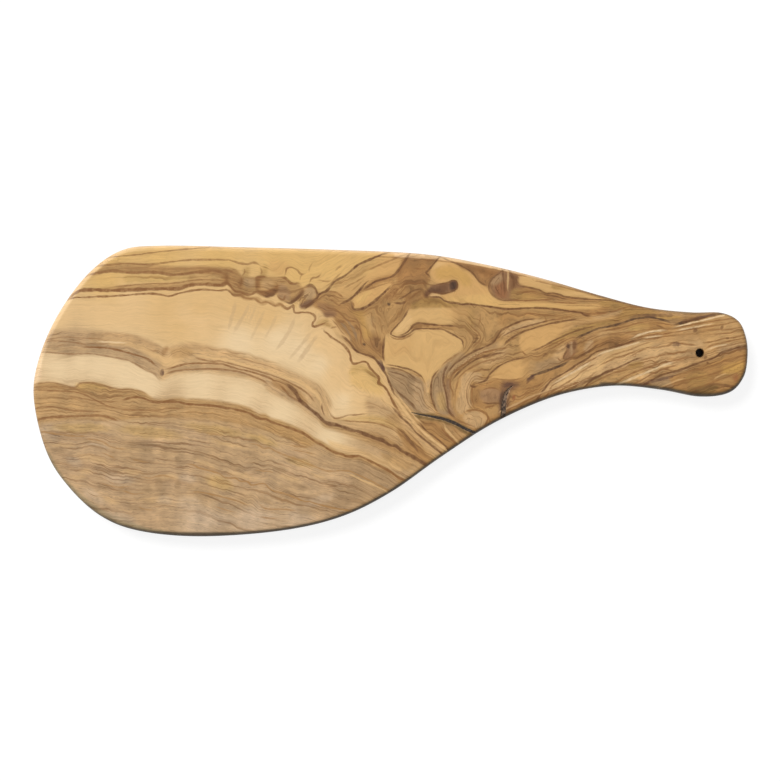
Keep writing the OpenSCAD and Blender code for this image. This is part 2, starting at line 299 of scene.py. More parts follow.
    ("fawn", 0.8, 1.2, [413,383, 419,380, 424,386, 423.5,396, 425,404, 429,412, 420,413, 415,404, 413,394]),
    ("tan", 0.9, 0.6, [424,384, 430,379, 430.5,384, 429,391, 429.5,398, 431,405, 436,412.5, 430,413, 426,405,
     424.5,396]),
    ("drab", 0.95, 0.8, [432,380, 437,373, 443,366.5, 449,362, 452,366, 447,373, 444,381, 444,388, 450,413,
     440,414, 436,408, 433,401, 431.5,393]),
    ("olive", 0.5, 1.4, [437,394, 443,392, 446,404, 445,411, 439,408]),
    ("dusk", 0.7, 0.8, [446,380, 450,380, 452,404, 457,416, 450,414, 447,402, 445,390]),
    ("clay", 0.85, 1.0, [452,374, 458,370, 462,372, 458,380, 456,390, 455,400, 456,408, 460,414, 456,416,
     452,406, 451,394, 451,384]),
    ("tan", 0.95, 0.7, [461,378, 466,373, 474,372, 482,374, 478,378, 471,382, 470,390, 470,398, 471.5,406,
     462,414, 457.5,412, 455.5,405, 460,390]),
    ("hazel", 0.9, 0.8, [472,384, 480,383, 498,386, 503,390, 503,398, 501,404, 490,404, 478,410, 473,408,
     471,398, 471,390]),
    ("dusk", 0.7, 1.0, [480,391, 488,388, 498,389, 501,396, 498,402, 486,403, 480,398]),
    ("clay", 0.85, 0.7, [484,409, 492,405.5, 501,405.5, 503,411, 494,415, 488,416]),
    ("tan", 0.95, 0.6, [464,414.5, 469,411.5, 477,411, 483,413.5, 487,418.5, 484,425, 478,428, 470,427,
     465,422.5, 463,418]),
    ("honey", 0.95, 0.7, [488,379, 497,370, 503,365.5, 510,362, 518,359.5, 525,359.5, 527.5,364, 527,372,
     522,377.5, 512,379.5]),
    ("hazel", 0.9, 1.0, [484,381, 515,380.5, 532,378, 538,382, 538,390, 526,394, 512,392, 504,388, 490,386]),
    ("tan", 0.7, 0.9, [474,378, 484,378.5, 489,380, 483,382.5, 474,382]),
    ("clay", 0.7, 1.2, [528,358, 540,352, 552,349, 560,343, 566,342, 564,350, 556,356, 548,366, 540,371,
     530,374]),
    ("drab", 0.7, 1.2, [529,362, 540,362, 552,358, 564,361, 552,367, 530,375]),
    ("tan", 0.8, 1.0, [552,357, 556,351, 562,346, 566,346, 565,352, 562,357, 557,361]),
    ("cocoa", 0.7, 0.9, [565,344, 576,340, 576,351, 572,357, 566,360, 563,357, 566,351]),
    ("fawn", 0.7, 0.6, [569.7,343, 572.3,342, 572.5,353, 570,355]),
    ("hazel", 0.7, 1.0, [532,384, 545,373, 560,367, 572,361, 584,357, 590,353, 594,352, 584,361, 556,376.5,
     547,383, 540,391]),
    ("tan", 0.95, 0.9, [540,392, 547,384, 553,380, 586,363, 596,356, 606,351, 618,348, 644,340, 660,337,
     676,337, 690,336, 702,338, 702,345, 676,349.5, 664,353, 610,372, 600,377, 590,381, 560,389]),
    ("sand", 0.7, 1.4, [556,384, 600,359, 605,362, 600,370, 590,375, 566,385]),
    ("amber", 0.6, 1.2, [598,358, 606,353, 650,342, 650,347, 634,353, 616,358, 606,362, 600,366]),
    ("clay", 0.7, 1.0, [598,379, 612,372.5, 634,365, 644,369, 624,380, 612,384, 600,383]),
    ("khaki", 0.7, 0.9, [628,364, 636,361.5, 643,362.5, 640,366.5, 630,368.5]),
    ("moss", 0.5, 0.9, [584,382, 592,377, 602,375, 600,380, 592,384]),
    ("khaki", 0.7, 1.0, [600,299, 612,299, 640,308, 655,311, 656,316, 630,318, 616,321, 620,315, 612,309,
     600,306]),
    ("tan", 0.75, 0.7, [590,317, 604,314.5, 622,309, 618,314.5, 606,317.5, 596,319.3]),
    ("ochre", 0.7, 0.8, [655,314.5, 668,315, 680,316.5, 683,320, 674,322, 656,317]),
    ("drab", 0.7, 0.8, [664,320, 676,318.5, 686,320, 680,323, 671,324.3]),
    ("clay", 0.8, 0.8, [684,311, 700,310, 716,311, 708,315, 696,318.5, 688,319]),
    ("olive", 0.7, 0.8, [628,327, 636,324.7, 648,324, 649,328, 638,330.5, 630,331]),
    ("hazel", 0.8, 0.9, [650,319, 660,321, 670,325, 670,329, 652,332, 649,325]),
    ("biscuit", 0.8, 1.4, [694,324, 704,319, 720,315, 736,316, 746,326, 748,341, 734,344, 718,345, 704,345,
     698,336]),
    ("fawn", 0.6, 1.2, [716,350, 724,345, 736,343, 747,343, 748,349, 734,351, 722,355]),
    ("tan", 0.7, 0.9, [640,376, 664,365.5, 677,361, 676,364, 652,376, 642,380]),
    ("drab", 0.85, 0.9, [650,381, 662,376, 688,369, 692,375, 678,382, 670,388, 652,386]),
    ("hazel", 0.95, 1.0, [668,377, 730,354, 748,351, 750,362, 749,372, 744,384, 734,391, 718,396, 704,398,
     690,396, 676,391]),
    ("khaki", 0.6, 2.0, [686,376, 700,372, 709,376, 704,385, 690,386]),
    ("ochre", 0.85, 1.4, [723,367, 732,363.5, 742,362, 745,368, 738,373, 728,374.5, 721,373]),
    ("clay", 0.6, 1.0, [718,377, 730,373, 737,374, 732,380, 722,383]),
    ("moss", 0.65, 1.0, [688,389, 704,384.5, 718,386, 714,391, 702,396, 688,393]),
    ("rust", 0.5, 0.9, [732,377, 736,374, 738,378, 735,382]),
    # Below the crack
    ("hazel", 0.85, 0.9, [418,421, 428,421, 438,422, 453,441, 459,446, 452,452, 444,447, 428,431, 421,425]),
    ("biscuit", 0.9, 0.9, [441,423, 452,424, 462,428, 470,433, 468,440, 460,445, 453,439]),
    ("tan", 0.7, 1.2, [398,412, 406,415, 424,433, 448,453, 440,458, 426,448, 412,436, 402,426]),
    ("hazel", 0.85, 1.2, [396,428, 404,431, 432,460, 420,462, 400,438]),
    ("clay", 0.75, 2.0, [452,308, 462,307, 468,316, 466,328, 456,330, 453,320]),
    ("clay", 0.7, 2.2, [522,356, 527,350, 534,352, 536,362, 532,376, 524,380]),
    ("plum", 0.5, 1.5, [499,414, 499,402, 501,384, 506,381, 513,381.5, 519,383, 517,388, 511,391, 509,398,
     509,408, 508,413]),
    ("hazel", 0.45, 3.0, [640,320, 670,321, 700,314, 722,318, 712,332, 690,342, 660,344, 640,336]),
    # Edges: a painted highlight strip above, painted grey and dark shade below
    ("rimPaintedHighlight", 0.5, 0.6, [395,250, 425,252.5, 455,256.5, 515,267, 560,279, 560,283, 530,276, 491,268,
     461,262.7, 431,259.4, 395,257]),
    ("rimPaintedHighlight", 0.6, 0.8, [33,346, 42,347, 42.5,362, 41,379, 33,381]),
    ("rimGrey", 0.5, 0.8, [48.5,450, 63,475, 88,499.5, 105,511, 128,519.5, 138,524.5, 150,528.5, 168,531.5,
     168,540, 130,537, 105,525, 80,504, 55,479, 41,450]),
    ("rimPaintedShade", 0.8, 0.6, [150,531, 200,532, 250,531, 300,525, 345,513, 380,496, 412,476, 416,482, 385,504,
     345,522, 300,534, 250,540, 200,543, 150,539]),
    ("rimPaintedShade", 0.7, 0.6, [600,382, 640,384, 670,388, 700,393, 725,391, 738,384, 746,392, 725,402, 700,403,
     670,398, 640,391, 600,390]),
    # Darker along the lower edge between the crack and the waist
    ("soot", 0.6, 1.2, [446,452, 452,446.5, 482,427, 502,415.5, 526,403.5, 540,397.5, 562,391, 566,396,
     530,412, 480,438, 455,455]),
]

# Small patches: tone, cover, then x, y, half length, half height and slope of each
patches = [
    ("drab", 0.6, [(45, 440, 5, 3, 0), (93, 443, 11, 3, 0.2), (58, 450, 10, 2.5, 0.1), (114, 456, 4, 8, 0),
     (131, 446, 6, 4, 0), (140, 460, 16, 2.5, 0.15), (146, 448, 7, 4, 0.2), (164, 452, 4, 6, 0),
     (178, 459, 3, 3, 0), (198, 453, 5, 6, 0), (216, 460, 4, 3, 0), (235, 465, 11, 5, 0.5),
     (124, 490, 9, 3, 0.1), (148, 490, 5, 3, 0), (103, 486, 6, 3, 0.2), (159, 482, 4, 8, 0),
     (136, 508, 8, 3, 0.2), (178, 485, 3, 7, 0), (211, 497, 8, 4, 0.3), (190, 487, 4, 4, 0),
     (257, 472, 6, 2.2, 0), (223, 440, 14, 3, 0.2), (300, 486, 10, 3, 0.3), (280, 470, 7, 3, 0.2),
     (330, 484, 8, 3, 0.4), (265, 500, 8, 3, 0.3)]),
    ("sand", 0.4, [(64, 445, 14, 2, 0), (95, 459, 18, 4, 0.25), (86, 471, 6, 3, 0), (131, 472, 12, 3, 0.1),
     (168, 477, 11, 3, 0), (206, 464, 12, 2.5, 0.35), (243, 476, 16, 3, 0.3), (78, 477, 9, 2.5, 0.1),
     (228, 444, 16, 2.2, 0.25), (108, 500, 12, 3, 0.3), (290, 478, 12, 2.5, 0.3), (318, 476, 8, 2, 0.4)]),
    ("oat", 0.6, [(190, 503, 13, 7, 0.1), (215, 520, 22, 6, 0), (165, 500, 8, 4, 0), (75, 462, 8, 5, 0.3),
     (188, 478, 9, 5, 0.2), (260, 518, 20, 5, -0.1), (320, 500, 16, 5, -0.3), (50, 432, 12, 8, 0),
     (120, 479, 15, 6, 0.1), (94, 496, 12, 6, 0.5), (122, 517, 16, 5, 0.3)]),
    ("olive", 0.5, [(80, 428, 30, 5, 0), (150, 432, 30, 6, 0.1), (215, 430, 30, 5, 0.15),
     (220, 483, 14, 7, 0.3), (262, 440, 16, 4, 0.3), (300, 462, 14, 4, 0.3)]),
    ("tan", 0.35, [(495, 358, 17, 7, -0.4), (598, 360, 16, 7, -0.5), (632, 353, 15, 7, -0.3),
     (500, 348, 8, 6, 0), (700, 358, 15, 7, -0.3), (597, 334, 14, 6, -0.3), (595, 360, 14, 6, -0.5),
     (630, 354, 13, 6, -0.3), (494, 358, 14, 6, -0.4)]),
    ("honey", 0.5, [(357, 287, 13, 6, -0.7), (372, 276, 8, 4, -0.6), (456, 313, 14, 7, 0),
     (342, 292, 6, 5, 0)]),
    ("bronze", 0.35, [(426, 433, 13, 6, 0.8), (458, 426, 14, 6, 0.3), (450, 436, 10, 4, 0.7)]),
]

# Growth lines: tone, width in mm, strength, x,y of the points. One that ends near the edge runs on over it.
growthLines = [
    # Top of the blade
    ("umber", 0.7, 0.5, [395,257.8, 431,260.2, 461,263.6, 491,269, 507,272.4]),
    ("umber", 0.8, 0.6, [119,256.5, 141,254.6, 148,253.3, 190,249]),
    ("umber", 1.1, 0.6, [108,265, 125,263.6, 150,264.5, 180,261, 195,260, 225,260, 232,261, 240,263.5,
     248,264.5, 254,262.5, 262,266]),
    ("bronze", 1.2, 0.5, [120,268, 180,269, 200,268, 222,270]),
    ("umber", 1.6, 0.75, [99,273, 113,271, 128,272.8, 147,272.5, 160,273, 172,275, 185,274, 200,272, 215,271,
     228,275]),
    ("umber", 0.8, 0.55, [112,287, 150,284, 165,283.8, 178,283, 190,281, 200,280, 215,280, 225,281]),
    ("umber", 1.9, 0.95, [64,299, 76.7,292.5, 83,290.4, 97,290, 110,290.7, 160,289, 180,288.8, 185,286.7,
     190,285.4, 197,284.6, 208,284.6, 221,285.4, 227.5,283.3, 232,288]),
    ("umber", 1.3, 0.85, [222,285, 227.5,283.5, 231,286.5, 235,291, 241,292.5, 248,295, 253,294, 256,292.3,
     262,295.5]),
    ("umber", 1.1, 0.8, [70,298.5, 76.7,297.5, 87,297.5, 97,296.7, 113,296.3, 147,293.8, 160,294.6, 170,296.3,
     180,293.3, 200,289.8, 220,290.7, 227.5,290, 234,295.4, 241,295.4, 244,297.5, 250,298.8, 255,298.8,
     261,302.9, 267,302.1, 276,306, 280,304, 287,309, 290,308, 294,305, 294,311, 296,313, 303,312.5, 310,313,
     315,316, 315,320, 312.5,324, 314,327, 325,323, 329,320]),
    ("umber", 1.2, 0.85, [324,327, 324,331, 328,334, 331,337, 342,344, 347,349, 350,354, 351,360, 354,364,
     362.5,361.7, 367,362.5, 370,367.5, 379,378, 378,383, 385,387.5, 389,394, 393,403, 398,411]),
    ("hazel", 2.4, 0.5, [236,296, 243,297, 248,298.5, 257,299, 262,303, 267,302, 271,302, 275,305.5,
     281,304.5, 285,308.5, 290,308]),
    # Curls
    ("umber", 0.9, 0.6, [221,269.5, 228,270.5, 236,273]),
    ("umber", 1.4, 0.8, [255,280, 257,277.5, 262,276.7, 268,277.5]),
    ("umber", 1.3, 0.8, [276,278, 281,277.5, 285,278, 288,280.5, 291,283.3, 295,283.7, 299,283.3, 302,286]),
    ("bark", 1.4, 0.8, [303,287, 307,286.3, 310.5,285, 314,287, 316.5,290.5, 317.5,295, 315,299.5]),
    ("umber", 0.9, 0.55, [256,289, 258,291, 262,292, 270,291, 276,288]),
    ("bark", 1.2, 0.75, [262,296, 268,296.7, 274,294.5, 277,291]),
    ("umber", 1.0, 0.6, [277,293, 279,298, 284,300, 285,296, 288,294]),
    ("bark", 1.4, 0.85, [284,301, 289,303, 293,302, 298,298, 303,292.5]),
    ("bark", 1.8, 0.8, [300,308.5, 306,307, 312,303, 317,299.5]),
    ("umber", 0.8, 0.5, [228,284, 227,278, 229,274]),
    ("umber", 0.8, 0.5, [240,288, 242,281, 241,277]),
    ("umber", 0.8, 0.5, [231,283, 236,284, 240,288, 246,290]),
    ("umber", 0.9, 0.5, [242,277, 245,272, 244,268]),
    ("umber", 0.9, 0.45, [261,276, 262,271, 260,267]),
    ("umber", 1.0, 0.6, [284,278, 286,273, 286.5,269, 290,267.5, 294,268.3, 298,270.5, 300,274, 304,274,
     308,272]),
    ("umber", 1.0, 0.6, [309,284.5, 311,280, 313,278, 318,277, 322,273]),
    ("bronze", 0.9, 0.5, [316,280, 322,281, 328,281.7, 333,280]),
    ("bronze", 0.9, 0.45, [300,281, 301,276, 304,274]),
    ("bronze", 0.9, 0.45, [335,272, 338,268, 343,265.5]),
    ("bronze", 0.8, 0.4, [309,273, 310,267, 314,262]),
    ("umber", 0.9, 0.6, [322,303, 328,308, 336,310, 342,315, 347,320, 356,322, 362,325]),
    ("umber", 0.8, 0.5, [326,297, 333,301, 339,305.5, 345,306.5]),
    ("umber", 0.8, 0.5, [330,318, 336,324, 341,331, 347,337]),
    ("bronze", 0.8, 0.5, [322,288, 330,284, 337,277, 344,271]),
    ("bronze", 0.8, 0.45, [350,292, 357,286.5, 364,280]),
    ("wheat", 1.8, 0.3, [250,302, 246,312, 233,334]),
    ("wheat", 1.8, 0.3, [236,300, 234,310, 228,332]),
    ("wheat", 1.6, 0.22, [257,304, 249,324]),
    ("wheat", 1.8, 0.3, [296,315, 290,330, 281,344, 274,352]),
    ("wheat", 1.8, 0.3, [312,331, 303,343, 288,361]),
    ("wheat", 2.2, 0.38, [319,333, 297,364]),
    ("wheat", 1.6, 0.22, [266,308, 250,342]),
    ("wheat", 1.6, 0.22, [278,312, 272,326, 264,340]),
    ("bark", 1.2, 0.85, [309,303, 317,298.5, 319,295, 323,292.5, 327,290.8, 335,281.5, 345,276, 355,267.5,
     360,264, 374,258]),
    ("umber", 1.0, 0.7, [325,291.3, 337,292.8, 345,299.5]),
    ("umber", 0.9, 0.5, [328,294, 334,297, 340,302]),
    ("bark", 1.2, 0.85, [338,307, 341,304, 350,299.5, 358,292, 366,283, 371,280]),
    ("bark", 1.2, 0.8, [362,291, 373,283, 379,280.5, 391,277, 396,273.5, 400,268.5, 408,256]),
    ("bark", 1.4, 0.85, [350,300, 352,304, 353,309, 358,309.5, 363,308.5, 369,305.5, 379,297.5, 388,289,
     392,284]),
    ("umber", 0.8, 0.5, [360,292.5, 384,284.3, 391,283]),
    ("umber", 1.0, 0.5, [342,290, 350,285, 357,281.5, 368,274.5]),
    ("umber", 1.0, 0.45, [366,272, 374,267.5, 392,260]),
    ("soot", 1.6, 0.75, [388,306, 389.5,302.5]),
    ("bark", 1.4, 0.75, [392,302.3, 398,303.5, 403,303, 408,300.5]),
    ("umber", 1.0, 0.6, [392,299, 395,293, 400,288, 406,284]),
    ("bark", 1.0, 0.6, [396,300, 404,297, 411,292, 420,289, 425,291]),
    ("ash", 1.5, 0.6, [344,318, 350,324, 355,333, 357,343]),
    ("ash", 1.1, 0.55, [338,320, 345,327, 350,336, 352,344]),
    ("umber", 1.0, 0.5, [352,314, 358,322, 361,333, 361,343, 366,350]),
    ("bronze", 1.0, 0.5, [376,314, 380,321, 382,330, 384,336]),
    ("umber", 1.4, 0.5, [336,320, 341,322, 346,321]),
    ("soot", 1.9, 0.9, [362.5,343, 366,345.5]),
    ("umber", 0.9, 0.55, [330,328.5, 334,327.3, 338,327]),
    ("umber", 0.8, 0.6, [350,301, 354,304.5, 352.5,310]),
    # Tan bands
    ("umber", 0.7, 0.45, [44,339.5, 52,339, 60,337.5, 70,337, 80,338, 100,339, 108,340]),
    ("umber", 0.7, 0.5, [44,342, 56,341, 75,342.5, 83,344, 90,347]),
    ("umber", 1.0, 0.85, [80,347, 100,347.5, 110,348.5, 120,350.5, 143,357, 150,360, 154,364, 160,368]),
    ("cream", 0.9, 0.6, [95,341, 105,342, 130,343]),
    ("umber", 0.9, 0.5, [44,352, 70,354, 92,354, 125,359.5, 132,362, 138,365, 144,369, 155,374, 158,378,
     161,380]),
    ("plum", 2.0, 0.8, [163,368, 162,377]),
    ("umber", 1.0, 0.75, [163,369, 168,369, 184,364.5, 197,363.3, 220,363.8, 226,365, 238,369, 248,371,
     263,375.5, 270,378, 274,380.5, 280,382]),
    ("sand", 1.3, 0.7, [192,353.5, 197,355.5, 205,356.5, 215,358.5, 225,359.5, 232,361, 240,364, 265,370,
     272,372, 300,383, 314,392, 318,397, 321,402, 322,412]),
    ("umber", 0.9, 0.6, [193,355, 198,358.5, 213,361.5, 224,362, 268,374, 284,380, 298,387, 309,395,
     316,404]),
    ("umber", 1.0, 0.6, [164,375, 172,372, 180,370.5, 190,369.5, 215,369, 235,371, 245,373.5, 262,380,
     270,386]),
    ("umber", 0.8, 0.3, [216,352, 232,355, 250,361, 268,366, 286,373]),
    ("bark", 1.9, 0.85, [284,382, 292,388, 297,394, 300,400, 312,410.5, 317,414, 321,418.5, 325,422, 330,424,
     337,425, 352,430, 360,432, 375,438, 382,440, 390,445, 396,446, 402,451, 410,455, 420,461]),
    ("umber", 1.0, 0.7, [277,382, 285,390, 290,396, 303,404]),
    ("bark", 1.0, 0.65, [322,402, 322,408, 325,417]),
    ("umber", 0.9, 0.6, [328,409, 330,413, 333,417, 338,418.5, 348,415, 355,415, 370,413]),
    ("umber", 0.8, 0.55, [340,420, 352,421.5, 365,422, 375,423, 390,428, 400,435]),
    # Brown band
    ("umber", 0.8, 0.45, [40,383.5, 50,382.5, 60,384, 75,387.5, 80,383.5, 90,382.5, 100,384, 118,389, 130,389,
     137,390.5, 143,392, 150,395.5]),
    ("umber", 1.3, 0.85, [120,401.5, 130,398, 137,397, 143,398, 155,402, 170,401.5, 180,402, 187,404, 205,405,
     220,406.5, 226,408, 232,408.5, 248,412.5, 254,416, 260,418.5, 266,419, 272,422, 297,430.5, 304,433.5,
     316,442, 322,445, 330,450, 337,453, 342,454, 346,456, 350,456.5, 357,456, 362,457, 386,469, 398,477,
     404,480]),
    ("umber", 0.8, 0.6, [40,390, 70,391.5, 80,393, 88,396, 106,405, 113,407, 120,410]),
    ("umber", 0.7, 0.5, [65,396, 75,397, 101,401.5, 120,401.5]),
    ("umber", 0.7, 0.5, [96,399, 117,396.5, 128,394]),
    ("umber", 0.7, 0.4, [40,387, 60,386.5, 90,391]),
    ("umber", 0.9, 0.55, [40,407.5, 45,406.5, 55,407, 62,408, 70,410, 80,411, 105,412]),
    ("umber", 1.3, 0.7, [38,420, 46,418, 65,416.5, 95,415.5, 103,416, 110,417.5, 118,421, 122,421.5]),
    ("umber", 0.8, 0.5, [120,409, 135,410, 160,410, 165,408.5, 170,408, 185,408.5]),
    ("sand", 0.9, 0.35, [170,411.5, 190,411]),
    # Lower blade
    ("hazel", 1.0, 0.6, [45,432, 74,436, 90,436]),
    ("hazel", 0.8, 0.6, [83,440, 90,439, 97,440, 104,442, 110,446, 118,448.5, 130,449]),
    ("oat", 1.0, 0.6, [85,445, 95,444, 112,449]),
    ("hazel", 0.8, 0.55, [100,452, 106,454, 117,459]),
    ("hazel", 0.8, 0.55, [130,459, 152,463]),
    ("hazel", 0.9, 0.6, [140,476, 150,478, 158,476, 165,475.5, 178,479]),
    ("hazel", 0.8, 0.5, [100,482, 108,485, 120,487, 130,486, 133,488]),
    ("hazel", 0.8, 0.5, [118,491, 125,491, 135,494, 147,492]),
    ("hazel", 0.8, 0.5, [137,506, 145,509, 156,510]),
    ("hazel", 0.8, 0.6, [205,433, 222,435.5]),
    ("hazel", 0.9, 0.65, [248,443.5, 255,444, 260,446, 264,448.5, 270,448, 280,453, 322,469, 330,471,
     345,470.5, 352,472, 372,481.5, 388,490]),
    ("sand", 0.9, 0.6, [345,473.5, 352,475, 364,481, 372,484, 380,488]),
    ("hazel", 0.8, 0.6, [290,445, 310,448]),
    ("hazel", 0.8, 0.55, [290,450, 300,451, 318,455]),
    ("hazel", 0.9, 0.75, [185,464, 193,464.5, 200,468, 218,473, 224,477, 230,478, 236,478, 240,481, 248,481.5,
     252,485, 264,483.5, 272,490, 288,494.5, 304,501, 310,501.5, 318,504, 334,508, 340,509]),
    ("hazel", 0.8, 0.55, [253,470, 270,471.5, 277,474]),
    ("hazel", 0.9, 0.65, [190,492, 200,492, 215,495, 238,501, 250,506]),
    ("hazel", 0.9, 0.6, [258,502, 263,507, 270,509, 283,509, 300,511]),
    ("hazel", 0.8, 0.55, [212,505, 220,508, 238,513]),
    ("hazel", 0.8, 0.5, [258,516, 268,518, 280,518]),
    # Knots
    ("bark", 1.3, 0.85, [340,334.5, 345,338, 350,343, 355,349.5, 360,353, 371,356.5, 376,360, 384,371,
     388,379, 394.5,395, 399,403.5]),
    ("plum", 2.4, 0.85, [378,359, 381,363, 385,373]),
    ("umber", 0.9, 0.7, [366,366, 378,376, 379.5,382, 384,386.5, 389,393, 398,410, 404,418]),
    ("umber", 0.8, 0.55, [364,370, 380,380]),
    ("bark", 0.9, 0.75, [384,365, 390,365, 408,369, 415,372, 421,376, 424.5,381]),
    ("bark", 0.9, 0.65, [384,367.5, 391,368, 405,371.5, 419,381]),
    ("bark", 0.9, 0.65, [386,371, 398,373.5, 405,376.5, 412,381]),
    ("sand", 1.4, 0.8, [391,391, 397,400, 415,423.5, 429,437, 444,448, 449,453]),
    ("sand", 0.9, 0.6, [396,393, 415,417, 424,425]),
    ("bark", 1.0, 0.65, [393,386, 400,394, 408,400, 413,405, 417,411]),
    ("bark", 1.1, 0.75, [390,405, 396,411, 402,418, 409,424, 414,430, 420,436, 440,452]),
    ("bark", 1.0, 0.75, [419,420, 422,426, 427,431, 440,441, 447,448]),
    ("umber", 1.0, 0.7, [440,424, 442,429, 446,434, 456,444]),
    ("sand", 1.1, 0.6, [443,422, 446,429, 451,435, 456,440]),
    ("umber", 0.8, 0.5, [452,426, 456,432, 462,438]),
    ("moss", 3.6, 0.8, [411,414, 425,416.6, 434,417.4, 450,422, 474,435]),
    ("soot", 4.0, 0.7, [503.5,414, 502.5,404, 503.5,395, 505,388]),
    ("plum", 2.6, 0.6, [503,387.5, 508,384.5, 515,386]),
    ("bark", 1.5, 0.6, [396,428, 402,431, 414,446, 420,455]),
    ("umber", 0.9, 0.55, [404,428, 417,441, 425,450]),
    ("bark", 1.1, 0.85, [385,333, 383,351, 383.5,359, 386,364]),
    ("bark", 0.9, 0.8, [409.6,306.7, 402.8,319, 391,332.5, 393,335.5, 398,337.3, 404,336.3, 410,333, 414,330,
     420,328.8, 440,329.2, 447,331.5, 461,339.5, 463,345, 463.5,350]),
    ("bark", 1.0, 0.8, [396,335.4, 401,335.2, 407,332.3, 411,328.5, 413.5,325, 420,323.3, 440,325.5,
     450,325.8, 459,327]),
    ("umber", 0.9, 0.65, [388,334, 392,337.5, 397,339.3, 404,338.4, 411,335, 416,331.5]),
    ("umber", 1.0, 0.5, [462,351, 449,359.5, 443,364.5, 440,369]),
    ("bark", 0.9, 0.8, [440,368, 433.5,376, 431.7,381, 431,388, 431,395, 433,402, 435,408, 439,414]),
    ("bark", 1.1, 0.8, [450,362.5, 445.5,369, 443.5,375, 443.3,382, 446.5,396, 448.5,410, 452,415, 456,419]),
    ("bark", 1.2, 0.6, [442,385.5, 446,386]),
    ("umber", 0.9, 0.6, [454,374, 450,381, 450.5,387, 453,393, 452,401]),
    ("umber", 0.9, 0.55, [459,377, 455,393, 456,400]),
    ("bark", 1.0, 0.8, [447,374, 452,367, 458,361.5, 472,352.5, 488,345.5, 494,341.5, 500,332.3, 505,328.2,
     520,321.5, 529,319.5, 538,319]),
    ("umber", 0.9, 0.7, [449,380, 454,373, 461,366.5, 468,361, 475,356.5, 484,352.3, 494,350, 511,347]),
    ("bark", 1.0, 0.75, [452,381, 457,374, 464,367.5, 471,362.5, 478,358.5, 486,356, 496,353.7, 507,352]),
    ("umber", 0.9, 0.6, [456,382, 462,374, 468,369.5, 477,364.5, 488,360.5, 499,358]),
    ("tan", 0.9, 0.6, [458,367, 466,361, 474,356, 484,351, 496,348]),
    ("bark", 0.8, 0.75, [499,338.5, 510,332.3, 516,329.7, 523,327.5, 550,320.3, 560,319.5]),
    ("bark", 1.0, 0.8, [503.5,348, 505.5,343, 510,339, 521,332.7, 528,330, 545,325, 556,322.5, 580,318.5]),
    ("umber", 0.8, 0.6, [505,345, 509,341, 520,336]),
    ("umber", 0.9, 0.6, [465,320, 471,326.5, 479,334, 480.5,338, 478,342.5, 474,346, 471.7,351]),
    ("bark", 0.8, 0.5, [474,335, 480.5,335.3]),
    ("bark", 0.8, 0.5, [473,338.5, 480,338.5]),
    ("bark", 0.8, 0.45, [471,342, 478,342.3]),
    ("umber", 0.8, 0.4, [480,312, 480,320, 478,327]),
    ("bark", 1.1, 0.85, [426,298, 430,297, 440,297.5, 444,300.8, 450,302.5, 456.7,303.3, 462.5,304.6,
     470,304.2, 500,308.3, 510,309.2, 540,308, 577,312.3, 582,313.7, 587,316, 593,315.4]),
    ("umber", 1.4, 0.55, [580,312.5, 585,315, 591,314]),
    ("umber", 1.4, 0.5, [594,312.8, 601,313.6, 608,312.2]),
    ("umber", 1.0, 0.75, [607,312.5, 613,311.5, 627,307, 634,307]),
    ("bark", 0.9, 0.7, [452,262, 463,267, 469,270.5, 474,275, 478,280.5, 483,284.5, 489,286]),
    ("bark", 0.9, 0.8, [440,256, 429,270, 426,273, 430,276.7, 430,281]),
    ("bark", 0.9, 0.8, [425,297, 429,293.8, 433,292.3, 444,293.8, 455,290, 457.5,285.5, 456,281, 452,280.6,
     447,283, 434,285]),
    ("umber", 0.9, 0.7, [398,286, 410.8,283.3, 417.5,284, 425,283.3, 431,285]),
    ("umber", 0.9, 0.65, [407,302, 411,298, 418,292.5, 424,289.5]),
    ("umber", 0.8, 0.5, [412,268, 420,269, 428,268]),
    ("bark", 0.9, 0.5, [500,272.5, 494,277, 490,282, 488.5,288, 491,293.5, 495,297, 500,299.7, 508,300.7,
     524,298]),
    ("sand", 0.9, 0.45, [508,273, 507.5,287, 508.5,294]),
    ("bark", 1.4, 0.55, [511,274, 513.5,281, 513.5,287, 511,292]),
    ("bark", 1.0, 0.6, [503,276, 504.5,293, 503,298]),
    ("bark", 0.9, 0.6, [495,285, 497,291, 501,296]),
    ("bark", 1.1, 0.8, [469,384, 471,386, 474,387, 477,386]),
    ("umber", 0.9, 0.7, [463,413, 468,410.5, 476,410, 483,412, 488,417, 486,423]),
    ("umber", 0.9, 0.6, [473,384, 472,392, 472,400, 475,408]),
    ("umber", 0.8, 0.6, [480,392, 486,388.5, 494,388, 501,391]),
    ("bark", 0.9, 0.7, [480,402, 488,403.5, 495,403, 503,403.5]),
    ("umber", 0.9, 0.7, [483,409, 489,406.5, 496,405.5]),
    ("umber", 0.9, 0.7, [481,410, 486,412.5, 488,417]),
    ("bark", 0.9, 0.8, [474,384, 480,382.5, 486,380, 489,375, 494,370, 500,365.5, 507,362, 515,359.5,
     524,357.5, 528,356]),
    ("umber", 0.8, 0.5, [487,378, 508,380, 518,379, 526,377]),
    ("umber", 0.9, 0.6, [521,350, 524,353.5, 528.5,356.3]),
    ("bark", 1.2, 0.6, [542,357, 545,354.5, 548,353]),
    ("rust", 1.6, 0.6, [512,394, 514,397, 512,401]),
    ("bark", 1.2, 0.7, [526,384, 529,380.5]),
    # Right end of the blade and the handle
    ("bark", 0.9, 0.75, [517.5,285.4, 535,289, 541,291, 546,293.5, 553,293.3, 560,294.7, 566,297, 590,299.5,
     612,300.3, 622,302]),
    ("bark", 0.8, 0.7, [539,290.5, 545,294.7, 557,296.8, 563,298.8, 570,299.7]),
    ("umber", 0.9, 0.6, [512,292, 522,292.5, 532,291.5, 540,293]),
    ("umber", 0.9, 0.7, [508,300.5, 535,300.5, 548,299.8, 556,300.5]),
    ("umber", 0.8, 0.7, [549,302, 570,303.2, 582,303]),
